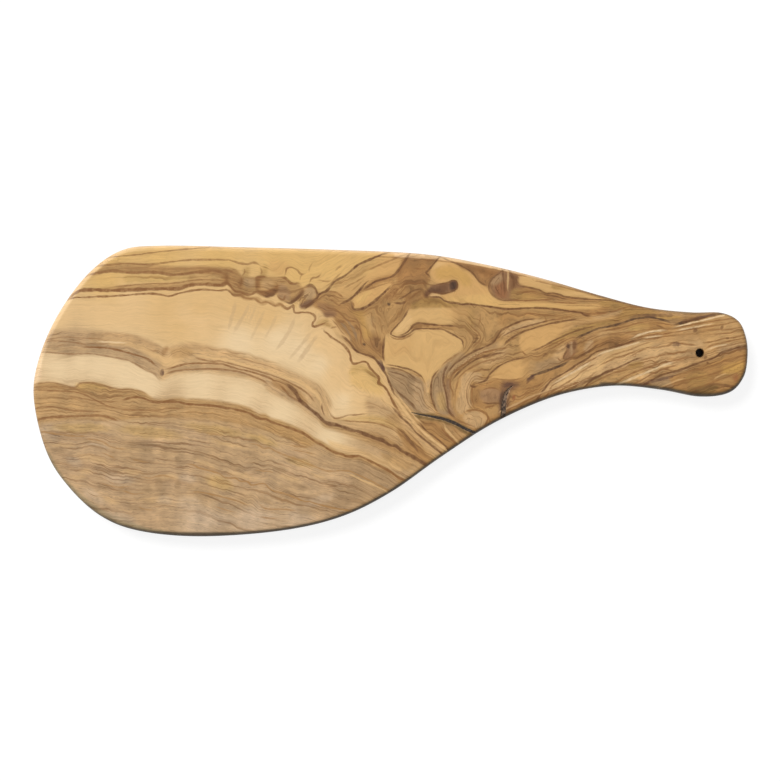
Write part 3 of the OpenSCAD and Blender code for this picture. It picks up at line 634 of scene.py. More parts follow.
    ("bronze", 0.8, 0.5, [560,305.5, 592,306, 604,307.5]),
    ("umber", 0.9, 0.5, [556,285.5, 576,290]),
    ("umber", 0.8, 0.5, [544,315, 545.5,319, 546,324]),
    ("umber", 0.9, 0.5, [552,321, 566,317.5, 576,317.5]),
    ("umber", 0.8, 0.5, [520,314, 534,314, 548,315.5, 560,316]),
    ("bark", 0.9, 0.7, [529,352, 540,348, 556,339.5, 575,331.3, 586,328, 598,326]),
    ("umber", 0.9, 0.65, [546,350.5, 556,346, 563,341.5, 570,338]),
    ("umber", 0.8, 0.65, [538,351, 569,336.5]),
    ("soot", 1.1, 0.75, [573,339.7, 586.7,333.3, 599,328.3, 613,325.8, 630,320.2, 637,318.5, 643,317.7,
     650,317.5, 663,320, 668,321.7, 672,324]),
    ("plum", 1.8, 0.55, [628,318.5, 634,316.5, 641,315.5, 650,315.5]),
    ("umber", 0.8, 0.6, [600,331.5, 624,327, 636,323.5, 648,321.5]),
    ("umber", 0.8, 0.55, [604,336, 616,333.5, 640,331]),
    ("umber", 0.8, 0.5, [578,346, 584,341, 590,337.5, 598,334.5]),
    ("umber", 0.8, 0.5, [578,355, 586,350, 592,344, 600,340]),
    ("bark", 1.0, 0.6, [655,324.5, 659,326.5, 664,328]),
    ("soot", 2.2, 0.75, [567.3,343.5, 568.7,348.5]),
    ("bark", 1.5, 0.7, [574.3,340, 573.7,351]),
    ("bark", 1.2, 0.75, [567.5,349, 563.3,357, 565,361]),
    ("umber", 0.9, 0.5, [576,352, 572,356, 570,360]),
    ("umber", 0.9, 0.6, [557,357, 559,360, 562,361]),
    ("soot", 1.3, 0.8, [524.5,382.5, 531.5,376.5, 536,374.3, 549,370, 562,365, 571.5,359.5]),
    ("bark", 1.0, 0.75, [570,360.5, 576,358.5, 581,356, 592,349, 597,345, 602,343]),
    ("plum", 2.6, 0.7, [526,382, 530,378.5, 535,375.3]),
    ("bark", 1.0, 0.85, [542,392, 549,382.5, 553,379.3, 567,371.2, 577.5,364, 588,358, 592,354.3, 600,350.5,
     621,344.8, 640,338.5]),
    ("umber", 0.9, 0.7, [549,391, 552,386, 557,382, 564,378, 579,367.5, 600,355]),
    ("cream", 1.0, 0.6, [551,385, 592,361]),
    ("umber", 0.9, 0.65, [561,386, 575,377.5, 581,372, 597,362.5]),
    ("umber", 0.8, 0.55, [572,385, 588,378, 594,373, 600,370]),
    ("umber", 0.8, 0.6, [524,402, 545,392.5, 556,389]),
    ("tan", 1.0, 0.7, [520,402, 530,397, 552,389.5]),
    ("umber", 0.8, 0.55, [518,397, 538,388.5]),
    ("umber", 0.8, 0.5, [520,390, 530,388, 540,384.5, 547,379]),
    ("umber", 0.9, 0.65, [598,366, 614,358.5, 631,353, 640,348.5]),
    ("cream", 1.0, 0.5, [594,357.5, 604,352.3, 630,345, 644,340.5]),
    ("umber", 0.8, 0.5, [606,357, 630,349.5, 642,344.5, 654,341]),
    ("bark", 1.0, 0.8, [590,381.5, 594,378, 600,375.5, 605,372.5, 617,368, 631,361.3, 638,358.5, 645,357.3]),
    ("bark", 1.4, 0.6, [584,382.5, 593,378.5]),
    ("umber", 0.9, 0.7, [612,384, 618,381, 623,377.5, 630,374, 640,370, 660,363.5, 670,361.5, 692,356]),
    ("umber", 0.8, 0.6, [600,379, 608,375, 616,372, 624,370.5, 632,367.5]),
    ("cream", 1.1, 0.55, [634,377.5, 665,364.7, 676,361.5]),
    ("umber", 0.9, 0.7, [642,379.5, 658,371, 680,363.8]),
    ("soot", 1.5, 0.85, [671,325.3, 684,322.5, 708,315.8, 722,313]),
    ("bark", 2.0, 0.6, [678,322.7, 694,319]),
    ("cream", 0.8, 0.7, [672,327.7, 704,320]),
    ("umber", 0.8, 0.65, [670,329.3, 700,323.3, 724,319.5, 738,318]),
    ("cream", 0.8, 0.5, [674,331, 716,323]),
    ("umber", 0.8, 0.6, [672,333, 696,328.5, 720,325, 734,322]),
    ("umber", 0.8, 0.6, [630,334.5, 640,334, 670,329.5]),
    ("cream", 1.0, 0.75, [630,339.5, 637,335.7, 645,333, 653,331.3, 668,330]),
    ("umber", 0.9, 0.7, [632,341.5, 640,337.3, 648,335.5, 666,333.7, 676,332]),
    ("cream", 0.8, 0.55, [642,338.7, 652,336.7, 664,335.3]),
    ("umber", 0.8, 0.5, [640,341, 652,338.5, 676,335]),
    ("umber", 0.7, 0.55, [702,330.5, 714,329.5, 724,330, 735,328.5, 744,326]),
    ("bark", 1.6, 0.7, [692.5,332.5, 697,328.5]),
    ("bark", 1.4, 0.6, [720,329.5, 723,325]),
    ("umber", 0.8, 0.5, [640,350, 646,348, 655,347.7, 663,346.5, 670,344.5]),
    ("umber", 1.1, 0.65, [661,346.7, 667.5,345.8, 671,343.5, 675,342.7, 690,344.8, 700,345]),
    ("plum", 2.6, 0.55, [671,345, 675,344.3, 681,345]),
    ("umber", 0.8, 0.6, [628,357.5, 641,350.5, 648,349]),
    ("umber", 0.8, 0.45, [636,362, 650,358, 664,355, 678,352.5, 690,352]),
    ("umber", 0.7, 0.5, [704,335, 728,333, 740,331]),
    ("umber", 0.9, 0.65, [700,343, 708,342.3, 715,341, 724,338.5, 734,337.5, 746,334]),
    ("bark", 1.3, 0.6, [725,338.5, 729,338]),
    ("umber", 0.9, 0.6, [703,350.5, 708,347, 716,344, 747,337.5]),
    ("cream", 0.8, 0.5, [705,351, 712,347.7, 720,345.5, 730,343.5]),
    ("umber", 0.7, 0.5, [708,352, 716,348.5, 747,341.5]),
    ("bark", 1.1, 0.85, [650,381, 657,377, 664,374, 680,370, 695,364, 710,359.3, 716,356.5, 721,352.8,
     737,347.7, 748,345]),
    ("umber", 0.9, 0.65, [716,358.5, 722,355, 730,352, 748,348]),
    ("bark", 1.6, 0.6, [703,360, 705,357.5, 706,355]),
    ("bark", 1.0, 0.7, [706,362.5, 709,363.3]),
    ("umber", 0.9, 0.5, [672,384, 684,380.5, 708,375, 720,371, 742,362]),
    ("sand", 0.8, 0.35, [672,382.5, 680,379.5, 688,378]),
    ("sand", 0.9, 0.4, [712,380, 720,375.5, 728,373]),
    ("umber", 0.9, 0.5, [700,387, 730,375.5, 740,371]),
    ("umber", 0.8, 0.4, [684,372, 698,369.5, 712,366, 724,360.5, 738,357]),
    ("bark", 1.2, 0.5, [706,387.5, 714,384, 722,385]),
    ("plum", 1.8, 0.6, [648,382.5, 652,381.5]),
]

# How the ground and its patches are painted, in mm on the board where it isn't a share
groundShape = {
    "reach": 4.0,              # a place keeps its own tone over this
    "fall": 1.6,               # power at which it gives way to the others beyond that
    "ringStep": 1.5,
    "handleFrom": 95,          # where the grain starts to get more restless
    "handleOver": 40,
    "handleRestless": 0.45,
}
patchShape = {
    "search": 1.5,             # in half lengths
    "edge": (1.35, 0.8),       # where it ends and how softly, in half lengths
    "waver": 1.2,              # steps of the sketch
    "waverPace": 0.9,
}
lineShape = {
    "families": 5,
    "step": 0.8,
    "nearEdge": 6,             # an end this near the edge runs on over it
    "runOn": 12,
    "apart": 4.0,              # lines nearer than this go to different families
    "search": 5.0,             # a line is left out of account beyond this
    "far": 30.0,               # distance given where no line is near
    "farHalfWidth": 0.5,
    "reach": 1.7,              # to either side over which a line keeps its strength
    "fade": 1.2,               # over which it loses it
    "taper": 5.0,              # length of a closed end, at most
    "taperShare": 0.3,         # the same as a share of the line
    "tip": 0.45,               # width of a closed end
    "unevenWidth": 0.35,
    "unevenStrength": 0.18,
}


def toneRgb(code):
    return np.array([int(code[i:i + 2], 16) / 255 for i in (0, 2, 4)])


def toLinear(colours):
    # From a hex colour, or from rows of sRGB colours
    if isinstance(colours, str):
        colours = toneRgb(colours)
    return np.where(colours <= 0.04045, colours / 12.92, ((colours + 0.055) / 1.055)**2.4)


def toBoard(points):
    # From the sketch to mm on the board
    places = np.array(points, dtype=float).reshape(-1, 2)
    cx, cy = sketch["centre"]
    return np.column_stack([(places[:, 0] - cx) * sketch["step"], (cy - places[:, 1]) * sketch["step"]])


def smoothPath(points, step):
    before = np.vstack([2 * points[0] - points[1], points[:-1]])
    after = np.vstack([points[1:], 2 * points[-1] - points[-2]])
    slopes = (after - before) / 2
    path = []
    for i in range(len(points) - 1):
        count = max(2, int(np.linalg.norm(points[i + 1] - points[i]) / step))
        t = np.arange(count)[:, None] / count
        a, b, c, d = points[i], points[i + 1], slopes[i], slopes[i + 1]
        path.append(a * (2 * t**3 - 3 * t**2 + 1) + c * (t**3 - 2 * t**2 + t)
                    + b * (3 * t**2 - 2 * t**3) + d * (t**3 - t**2))
    path.append(points[-1:])
    return np.vstack(path)


def nearestOn(path, places):
    start = path[:-1]
    step = path[1:] - start
    length2 = np.maximum((step**2).sum(1), 1e-12)
    lengths = np.sqrt(length2)
    along0 = np.concatenate([[0], np.cumsum(lengths)[:-1]])
    signed = np.empty(len(places))
    along = np.empty(len(places))
    block = max(1, 3000000 // len(start))
    for first in range(0, len(places), block):
        p = places[first:first + block]
        away = p[:, None, :] - start[None]
        t = np.clip((away * step[None]).sum(2) / length2, 0, 1)
        gap = away - t[..., None] * step[None]
        dist2 = (gap**2).sum(2)
        pick = dist2.argmin(1)
        rows = np.arange(len(p))
        side = step[pick, 0] * away[rows, pick, 1] - step[pick, 1] * away[rows, pick, 0]
        signed[first:first + block] = np.sqrt(dist2[rows, pick]) * np.where(side < 0, -1, 1)
        along[first:first + block] = along0[pick] + t[rows, pick] * lengths[pick]
    return signed, along, lengths.sum()


def isInside(corners, places):
    hits = np.zeros(len(places), dtype=bool)
    for a, b in zip(corners, np.roll(corners, -1, axis=0)):
        crosses = (a[1] > places[:, 1]) != (b[1] > places[:, 1])
        with np.errstate(divide="ignore", invalid="ignore"):
            x = a[0] + (places[:, 1] - a[1]) * (b[0] - a[0]) / (b[1] - a[1])
        hits ^= crosses & (places[:, 0] < x)
    return hits


def nearBox(path, places, margin):
    low = path.min(0) - margin
    high = path.max(0) + margin
    return np.flatnonzero(((places >= low) & (places <= high)).all(1))


def smoothStep(x):
    x = np.clip(x, 0, 1)
    return x * x * (3 - 2 * x)


def toneAndCalm(name):
    return np.append(toneRgb(woodTones[name]), [calmTones.get(name, 1.0), name.startswith("rim")])


# Waves of the waver along a line: pace, share of the seed, height
softWaves = [(0.61, 1.0, 1.0), (1.37, 2.3, 0.6), (0.23, 5.1, 1.0)]


def softNoise(x, seed):
    # Smooth repeatable waver, between -1 and 1
    total = sum(np.sin(x * pace + seed * share) * height for pace, share, height in softWaves)
    return total / sum(height for pace, share, height in softWaves)


def paintGround(places):
    # Colour, then how restless the grain is, and how much painted rim highlight or shade lies over it
    colour = np.zeros((len(places), 5))
    total = np.zeros(len(places))
    for name, spots in ground:
        for spot in toBoard(spots):
            weight = 1 / (((places - spot)**2).sum(1) + groundShape["reach"]**2)**groundShape["fall"]
            colour += weight[:, None] * toneAndCalm(name)
            total += weight
    colour /= total[:, None]
    onHandle = smoothStep((places[:, 0] - groundShape["handleFrom"]) / groundShape["handleOver"])
    colour[:, 3] += groundShape["handleRestless"] * onHandle
    for name, cover, soft, corners in areas:
        ring = toBoard(corners)
        ring = smoothPath(np.vstack([ring, ring[:1]]), groundShape["ringStep"])
        near = nearBox(ring, places, soft * 2)
        if len(near) == 0:
            continue
        edge = np.abs(nearestOn(ring, places[near])[0])
        edge = np.where(isInside(ring, places[near]), edge, -edge)
        share = cover * smoothStep(0.5 + edge / (2 * soft))
        colour[near] += share[:, None] * (toneAndCalm(name) - colour[near])
    end, softness = patchShape["edge"]
    for name, cover, spots in patches:
        for x, y, halfLength, halfHeight, slope in spots:
            middle = toBoard([x, y])
            search = patchShape["search"] * max(halfLength, halfHeight)
            near = nearBox(middle, places, search * sketch["step"])
            away = (places[near] - middle[0]) / sketch["step"]
            waver = softNoise(away[:, 0] * patchShape["waverPace"], x + y) * patchShape["waver"]
            ratio = np.hypot(away[:, 0] / halfLength, (away[:, 1] + away[:, 0] * slope + waver) / halfHeight)
            share = cover * smoothStep((end - ratio) / softness)
            colour[near] += share[:, None] * (toneAndCalm(name) - colour[near])
    return colour


def boardLines(outline):
    # Lines in mm, with their ends run on over the edge where they come near it
    lines = []
    for name, width, strength, points in growthLines:
        path = toBoard(points)
        openEnds = []
        for end, inner in ((0, 1), (-1, -2)):
            gap = abs(nearestOn(outline, path[end:][:1])[0][0])
            isOpen = gap < lineShape["nearEdge"] or not isInside(outline, path[end:][:1])[0]
            openEnds.append(isOpen)
            if isOpen:
                ahead = path[end] - path[inner]
                further = path[end] + ahead / max(np.hypot(*ahead), 1e-6) * lineShape["runOn"]
                path = np.vstack([further[None], path]) if end == 0 else np.vstack([path, further[None]])
        lines.append((name, width, strength, smoothPath(path, lineShape["step"]), openEnds))
    return lines


def familyOf(lines):
    # Lines that come close to each other go to different families
    chosen = []
    for i, line in enumerate(lines):
        crowd = np.zeros(lineShape["families"])
        for j in range(i):
            near = nearBox(lines[j][3], line[3], lineShape["apart"])
            if len(near):
                close = np.abs(nearestOn(lines[j][3], line[3][near])[0]) < lineShape["apart"]
                crowd[chosen[j]] += close.sum()
        chosen.append(int(crowd.argmin()))
    return chosen


# Tones of the lines, as they stand on the material's ramp
toneOrder = [
    "cream", "sand", "tan", "oat", "wheat", "hazel", "bronze", "umber",
    "ash", "rust", "moss", "bark", "plum", "soot",
]


def paintLines(places, lines, families):
    # For each family: distance from the nearest line, its half width, its strength and its tone
    layers = []
    for family in range(lineShape["families"]):
        nearest = np.full(len(places), lineShape["far"])
        layer = np.zeros((len(places), 4))
        layer[:, 0] = lineShape["far"]
        layer[:, 1] = lineShape["farHalfWidth"]
        for index, (name, width, strength, path, openEnds) in enumerate(lines):
            if families[index] != family:
                continue
            near = nearBox(path, places, lineShape["search"])
            if len(near) == 0:
                continue
            signed, along, length = nearestOn(path, places[near])
            closer = np.abs(signed) < np.abs(nearest[near])
            near, signed, along = near[closer], signed[closer], along[closer]
            taper = min(lineShape["taper"], length * lineShape["taperShare"])
            fade = np.ones(len(near))
            if not openEnds[0]:
                fade *= smoothStep(along / taper)
            if not openEnds[1]:
                fade *= smoothStep((length - along) / taper)
            swelling = 1 + lineShape["unevenWidth"] * softNoise(along, index * 1.7)
            evenness = 1 - lineShape["unevenStrength"] * (1 - softNoise(along * 1.9, index * 3.1))
            reach = 1 - smoothStep((np.abs(signed) - lineShape["reach"]) / lineShape["fade"])
            nearest[near] = signed
            layer[near, 0] = signed
            layer[near, 1] = width / 2 * swelling * (lineShape["tip"] + (1 - lineShape["tip"]) * fade)
            layer[near, 2] = strength * evenness * fade * reach
            layer[near, 3] = toneOrder.index(name) / (len(toneOrder) - 1)
        layers.append(layer)
    return layers


# The level across the grain, in mm on a grid that reaches past the board
grainShape = {
    "cell": 2.0,
    "halfLength": 226,
    "halfWidth": 104,
    "shortest": 16,            # points on a line that counts
    "blurs": 9,                # each wider and weaker than the one before
    "blurWeight": 0.35,
    "even": 0.05,              # weight of the even rise across, beside none along the grain
    "smooth": 0.0008,          # weight of the smoothness
    "rounds": 5,
    "steps": 220,
    "leastRise": 0.15,
}


def grainField(lines):
    # A level that rises by one for each mm across the growth lines
    cell = grainShape["cell"]
    xs = np.arange(-grainShape["halfLength"], grainShape["halfLength"] + 1, cell)
    ys = np.arange(-grainShape["halfWidth"], grainShape["halfWidth"] + 1, cell)
    gx, gy = np.meshgrid(xs, ys)
    spread = np.zeros((3,) + gx.shape)
    for name, width, strength, path, openEnds in lines:
        if name == "wheat" or len(path) < grainShape["shortest"]:
            continue
        ahead = np.diff(path, axis=0)
        middle = (path[1:] + path[:-1]) / 2
        column = np.clip(((middle[:, 0] - xs[0]) / cell).round().astype(int), 0, len(xs) - 1)
        row = np.clip(((middle[:, 1] - ys[0]) / cell).round().astype(int), 0, len(ys) - 1)
        size = np.maximum(np.hypot(ahead[:, 0], ahead[:, 1]), 1e-9)
        np.add.at(spread[0], (row, column), ahead[:, 0]**2 / size)
        np.add.at(spread[1], (row, column), ahead[:, 0] * ahead[:, 1] / size)
        np.add.at(spread[2], (row, column), ahead[:, 1]**2 / size)
    total = np.zeros_like(spread)
    wide = spread.copy()
    weight = 1.0
    for turn in range(grainShape["blurs"]):
        for repeat in range(2 + turn * 3):
            padded = np.pad(wide, ((0, 0), (1, 1), (1, 1)), mode="edge")
            wide = (padded[:, 1:-1, 1:-1] * 2 + padded[:, :-2, 1:-1] + padded[:, 2:, 1:-1]
                    + padded[:, 1:-1, :-2] + padded[:, 1:-1, 2:]) / 6
        total += wide * weight
        weight *= grainShape["blurWeight"]
    trace = total[0] + total[2] + 1e-12
    angle = 0.5 * np.arctan2(2 * total[1] / trace, (total[0] - total[2]) / trace)
    along = np.stack([np.cos(angle), np.sin(angle)])
    across = np.stack([-along[1], along[0]])
    across *= np.where(across[1] < 0, -1, 1)

    def corners(u):
        right = (u[1:, 1:] + u[:-1, 1:] - u[1:, :-1] - u[:-1, :-1]) / (2 * cell)
        up = (u[1:, 1:] + u[1:, :-1] - u[:-1, 1:] - u[:-1, :-1]) / (2 * cell)
        return right, up

    def gather(right, up):
        u = np.zeros(gx.shape)
        u[1:, 1:] += right + up
        u[:-1, 1:] += right - up
        u[1:, :-1] += up - right
        u[:-1, :-1] -= right + up
        return u / (2 * cell)

    def mid(v):
        return (v[..., 1:, 1:] + v[..., :-1, 1:] + v[..., 1:, :-1] + v[..., :-1, :-1]) / 4

    def pull(u):
        # The linear side of the fit: an even rise across the grain, none along it, and all of it smooth
        right, up = corners(u)
        run = right * tx + up * ty
        out = gather(run * tx + even * right, run * ty + even * up)
        lap = np.zeros_like(u)
        dx = np.diff(u, axis=1)
        dy = np.diff(u, axis=0)
        lap[:, :-1] -= dx
        lap[:, 1:] += dx
        lap[:-1] -= dy
        lap[1:] += dy
        return out + grainShape["smooth"] * lap

    tangent = np.stack([mid(np.cos(2 * angle)), mid(np.sin(2 * angle))])
    half = 0.5 * np.arctan2(tangent[1], tangent[0])
    tx, ty = np.cos(half), np.sin(half)
    goal = mid(across)
    goal /= np.maximum(np.hypot(goal[0], goal[1]), 1e-6)
    level = gy.copy()
    even = grainShape["even"]
    for turn in range(grainShape["rounds"]):
        residual = gather(even * goal[0], even * goal[1]) - pull(level)
        ahead = residual.copy()
        power = (residual**2).sum()
        for step in range(grainShape["steps"]):
            pushed = pull(ahead)
            share = power / max((ahead * pushed).sum(), 1e-20)
            level = level + share * ahead
            residual = residual - share * pushed
            newPower = (residual**2).sum()
            ahead = residual + ahead * (newPower / max(power, 1e-20))
            power = newPower
        right, up = corners(level)
        size = np.hypot(right, up)
        rising = np.stack([right, up]) / np.maximum(size, 1e-6)
        goal = np.where(size > grainShape["leastRise"], rising, goal)
    return xs, ys, level


def readGrid(xs, ys, values, places):
    cell = xs[1] - xs[0]
    fx = np.clip((places[:, 0] - xs[0]) / cell, 0, len(xs) - 1.001)
    fy = np.clip((places[:, 1] - ys[0]) / cell, 0, len(ys) - 1.001)
    ix, iy = fx.astype(int), fy.astype(int)
    tx, ty = fx - ix, fy - iy
    top = values[iy, ix] * (1 - tx) + values[iy, ix + 1] * tx
    bottom = values[iy + 1, ix] * (1 - tx) + values[iy + 1, ix + 1] * tx
    return top * (1 - ty) + bottom * ty


scene = bpy.context.scene
scene.view_settings.view_transform = "Standard"

# Camera straight above, level with the long edges
cameraShape = {
    "sensorWidth": 36,
    "focalLength": 150,    # long, so that the edges stay upright
    "viewWidth": 458.8,    # mm across the picture
    "middle": (-0.29, 0.29),
    "levelOfView": 13,     # mm, where the board is widest
}
print("Camera")
cameraData = bpy.data.cameras.new("camera")
cameraData.lens = cameraShape["focalLength"]
cameraData.sensor_width = cameraShape["sensorWidth"]
cameraData.sensor_fit = "HORIZONTAL"
cameraData.clip_end = 20
camera = bpy.data.objects.new("camera", cameraData)
distance = cameraShape["viewWidth"] * cameraShape["focalLength"] / cameraShape["sensorWidth"]
camera.location = (
    cameraShape["middle"][0] * mm,
    cameraShape["middle"][1] * mm,
    (cameraShape["levelOfView"] + distance) * mm,
)
scene.collection.objects.link(camera)
scene.camera = camera

# A broad soft key light from the upper left, a weak fill from the other side and a pale room
lampShapes = {
    "key": {"from": (-0.60, 0.68, 1.0), "spread": 32, "strength": 3.55, "tint": (1.0, 0.985, 0.965)},
    "fill": {"from": (0.8, -0.5, 1.2), "spread": 90, "strength": 0.15, "tint": (0.95, 0.97, 1.0)},
}
print("Lamps and floor")
for name, lamp in lampShapes.items():
    light = bpy.data.lights.new(name, "SUN")
    light.angle = math.radians(lamp["spread"])
    light.energy = lamp["strength"]
    light.color = lamp["tint"]
    lampObject = bpy.data.objects.new(name, light)
    lampObject.location = lamp["from"]
    lampObject.rotation_euler = (-Vector(lamp["from"])).to_track_quat("-Z", "Y").to_euler()
    scene.collection.objects.link(lampObject)


def addNode(tree, kind, settings, out=0):
    # Add one node: a setting that is another node's output is linked, the others are set.
    # It gives back one of its outputs, which knows its node.
    node = tree.nodes.new("ShaderNode" + kind)
    for key, value in settings.items():
        if isinstance(value, bpy.types.NodeSocket):
            tree.links.new(value, node.inputs[key])
        elif isinstance(key, str) and key.islower():
            setattr(node, key, value)
        else:
            node.inputs[key].default_value = value
    return node.outputs[out] if node.outputs else None


def newMaterial(name):
    material = bpy.data.materials.new(name)
    material.use_nodes = True
    material.node_tree.nodes.clear()
    return material, material.node_tree


world = bpy.data.worlds.new("room")
world.use_nodes = True
scene.world = world
tree = world.node_tree
tree.nodes.clear()
paleRoom = addNode(tree, "Background", {"Color": (0.96, 0.98, 1.0, 1), "Strength": 0.15})
addNode(tree, "OutputWorld", {"Surface": paleRoom})

# White paper that sweeps up all round. It shines a little by itself where it lies open, so that the
# board's shadow stays light. What lands on it from the lamps comes back grey, so that the wood's
# lower edges stay shaded.
paperShape = {
    "radius": 3.0,          # m
    "sweep": 0.8,           # m, radius of its upward curve
    "sweepSteps": 12,
    "weld": 1e-6,           # m, under which two of its points are one
    "height": 1.1,          # m
    "below": 0.1,           # mm under the board
    "greyBack": 0.15,       # what comes back from it on to the board
    "white": 0.2,
    "shadeReach": 0.02,     # m
    "openFrom": 0.12,
    "openTo": 0.5,
    "shine": 0.88,
}
paperMaterial, tree = newMaterial("whitePaper")
greyPaper = addNode(tree, "BsdfDiffuse", {"Color": (*[paperShape["greyBack"]] * 3, 1)})
whitePaper = addNode(tree, "BsdfDiffuse", {"Color": (*[paperShape["white"]] * 3, 1)})
openness = addNode(tree, "AmbientOcclusion", {"Distance": paperShape["shadeReach"], "samples": 8}, "AO")
shine = addNode(tree, "MapRange", {
    "Value": openness, "From Min": paperShape["openFrom"], "From Max": paperShape["openTo"],
    "To Max": paperShape["shine"],
})
glow = addNode(tree, "Emission", {"Color": (1, 1, 1, 1), "Strength": shine})
litPaper = addNode(tree, "AddShader", {0: whitePaper, 1: glow})
# The white is for rays from the camera and for those that gloss and glass send out
rays = addNode(tree, "LightPath", {}).node.outputs
isSeen = rays["Is Camera Ray"]
for kind in ("Is Glossy Ray", "Is Transmission Ray"):
    isSeen = addNode(tree, "Math", {"operation": "MAXIMUM", 0: isSeen, 1: rays[kind]})
paper = addNode(tree, "MixShader", {0: isSeen, 1: greyPaper, 2: litPaper})
addNode(tree, "OutputMaterial", {"Surface": paper})


turnedSteps = 64           # sides of what is spun round an axis
weld = 1e-7                # m, under which two points of a piece are one


def newObject(name, bm, material=None):
    mesh = bpy.data.meshes.new(name)
    bm.to_mesh(mesh)
    bm.free()
    piece = bpy.data.objects.new(name, mesh)
    scene.collection.objects.link(piece)
    if material:
        mesh.materials.append(material)
    return piece


bm = bmesh.new()
flat = paperShape["radius"] - paperShape["sweep"]
profile = [(0, 0)]
for turn in np.linspace(0, math.pi / 2, paperShape["sweepSteps"] + 1):
    profile.append((flat + paperShape["sweep"] * math.sin(turn), paperShape["sweep"] * (1 - math.cos(turn))))
profile.append((paperShape["radius"], paperShape["height"]))
verts = [bm.verts.new((x, 0, z - paperShape["below"] * mm)) for x, z in profile]
edges = [bm.edges.new(pair) for pair in zip(verts, verts[1:])]
bmesh.ops.spin(bm, geom=verts + edges, cent=(0, 0, 0), axis=(0, 0, 1), angle=2 * math.pi,
               steps=turnedSteps, use_merge=True)
bmesh.ops.remove_doubles(bm, verts=bm.verts, dist=paperShape["weld"])
bm.normal_update()
if sum(f.normal.z for f in bm.faces) < 0:
    bmesh.ops.reverse_faces(bm, faces=bm.faces)
floor = newObject("paperFloor", bm, paperMaterial)
floor.data.shade_smooth()

# The plank, in mm, from the same values as the part's source
boardShape = {
    "bladeLength": 300,
    "bladeWidth": 171,
    "thickness": 16,
    "edgeRadius": 3,
    "handleLength": 120,
    "waistWidth": 46.5,
    "waistMiddle": 25.6,
    "gripWidth": 49.6,
    "gripMiddle": 21.4,
    "edgeSegments": 8,
    "sideBands": 6,
    "outlineStep": 1.6,
    "topStep": 0.95,       # of the lattice that carries the figure
    "undersideStep": 1.6,
    "flatAngle": 0.05,     # between faces that count as one
    "sharpAngle": 32,
}
boardStart = -(boardShape["bladeLength"] + boardShape["handleLength"]) / 2
# Shares of the blade's length and half width, then of the handle's
bladeTop = [
    (0, -0.04), (0.012, 0.24), (0.049, 0.532), (0.107, 0.807), (0.172, 0.967), (0.25, 1), (0.405, 0.99),
    (0.583, 0.973), (0.759, 0.944), (0.877, 0.877), (0.993, 0.779),
]
bladeBottom = [
    (0.993, -0.073), (0.895, -0.235), (0.797, -0.458), (0.7, -0.697), (0.602, -0.866), (0.485, -0.961),
    (0.33, -1), (0.21, -0.964), (0.132, -0.86), (0.067, -0.652), (0.024, -0.407),
]
gripTop = [(0.72, 1.005), (0.868, 0.995), (0.955, 0.8), (0.993, 0.4)]
gripBottom = [(1, -0.06), (0.98, -0.54), (0.91, -0.9), (0.77, -0.995), (0.585, -0.835)]
waistTop = [(0.51, 1.01)]
waistBottom = [(0.375, -0.965)]
# Share of the handle's length, and how far out between the waist and the blade
shoulderTop = (0.279, 0.2)
shoulderBottom = (0.18, 0.02)


def boardKnots():
    shape = boardShape
    shoulder = boardStart + shape["bladeLength"]
    halfBlade = shape["bladeWidth"] / 2

    def onBlade(shares):
        return [(boardStart + s * shape["bladeLength"], w * halfBlade) for s, w in shares]

    def onHandle(shares, middle, width):
        return [(shoulder + s * shape["handleLength"], middle + w * width / 2) for s, w in shares]

    def onShoulder(share, mix, side):
        waistEdge = shape["waistMiddle"] + side * shape["waistWidth"] / 2
        return [(shoulder + share * shape["handleLength"], waistEdge + (side * halfBlade - waistEdge) * mix)]

    return np.array(
        onBlade(bladeTop) + onShoulder(*shoulderTop, 1)
        + onHandle(waistTop, shape["waistMiddle"], shape["waistWidth"])
        + onHandle(gripTop + gripBottom, shape["gripMiddle"], shape["gripWidth"])
        + onHandle(waistBottom, shape["waistMiddle"], shape["waistWidth"])
        + onShoulder(*shoulderBottom, -1) + onBlade(bladeBottom)
    )


spanSteps = 4              # between two knots, at least


def boardOutline(spacing=None):
    # Smooth closed line through the knots, with the same steps to each span or steps of one length
    knots = boardKnots()
    outline = []
    for i in range(len(knots)):
        a, b, c, d = knots[i - 1], knots[i], knots[(i + 1) % len(knots)], knots[(i + 2) % len(knots)]
        count = max(spanSteps, round(np.hypot(*(c - b)) / spacing)) if spacing else spanSteps
        for t in np.arange(count) / count:
            outline.append((2 * b + (c - a) * t + (2 * a - 5 * b + 4 * c - d) * t * t
                            + (3 * b - a - 3 * c + d) * t**3) / 2)
    return np.array(outline)


sameLevel = 1e-6           # m, within which a face or an edge lies at a level
levelNormal = 0.9999       # upward part of a level face's normal, at least


def upright(bm, points, low, high):
    # Closed upright prism over a ring of points in mm
    ring = [bm.verts.new((x * mm, y * mm, low * mm)) for x, y in points]
    side = bmesh.ops.extrude_face_region(bm, geom=[bm.faces.new(ring)])
    risen = [v for v in side["geom"] if isinstance(v, bmesh.types.BMVert)]
    bmesh.ops.translate(bm, vec=(0, 0, (high - low) * mm), verts=risen)
    bmesh.ops.recalc_face_normals(bm, faces=bm.faces)


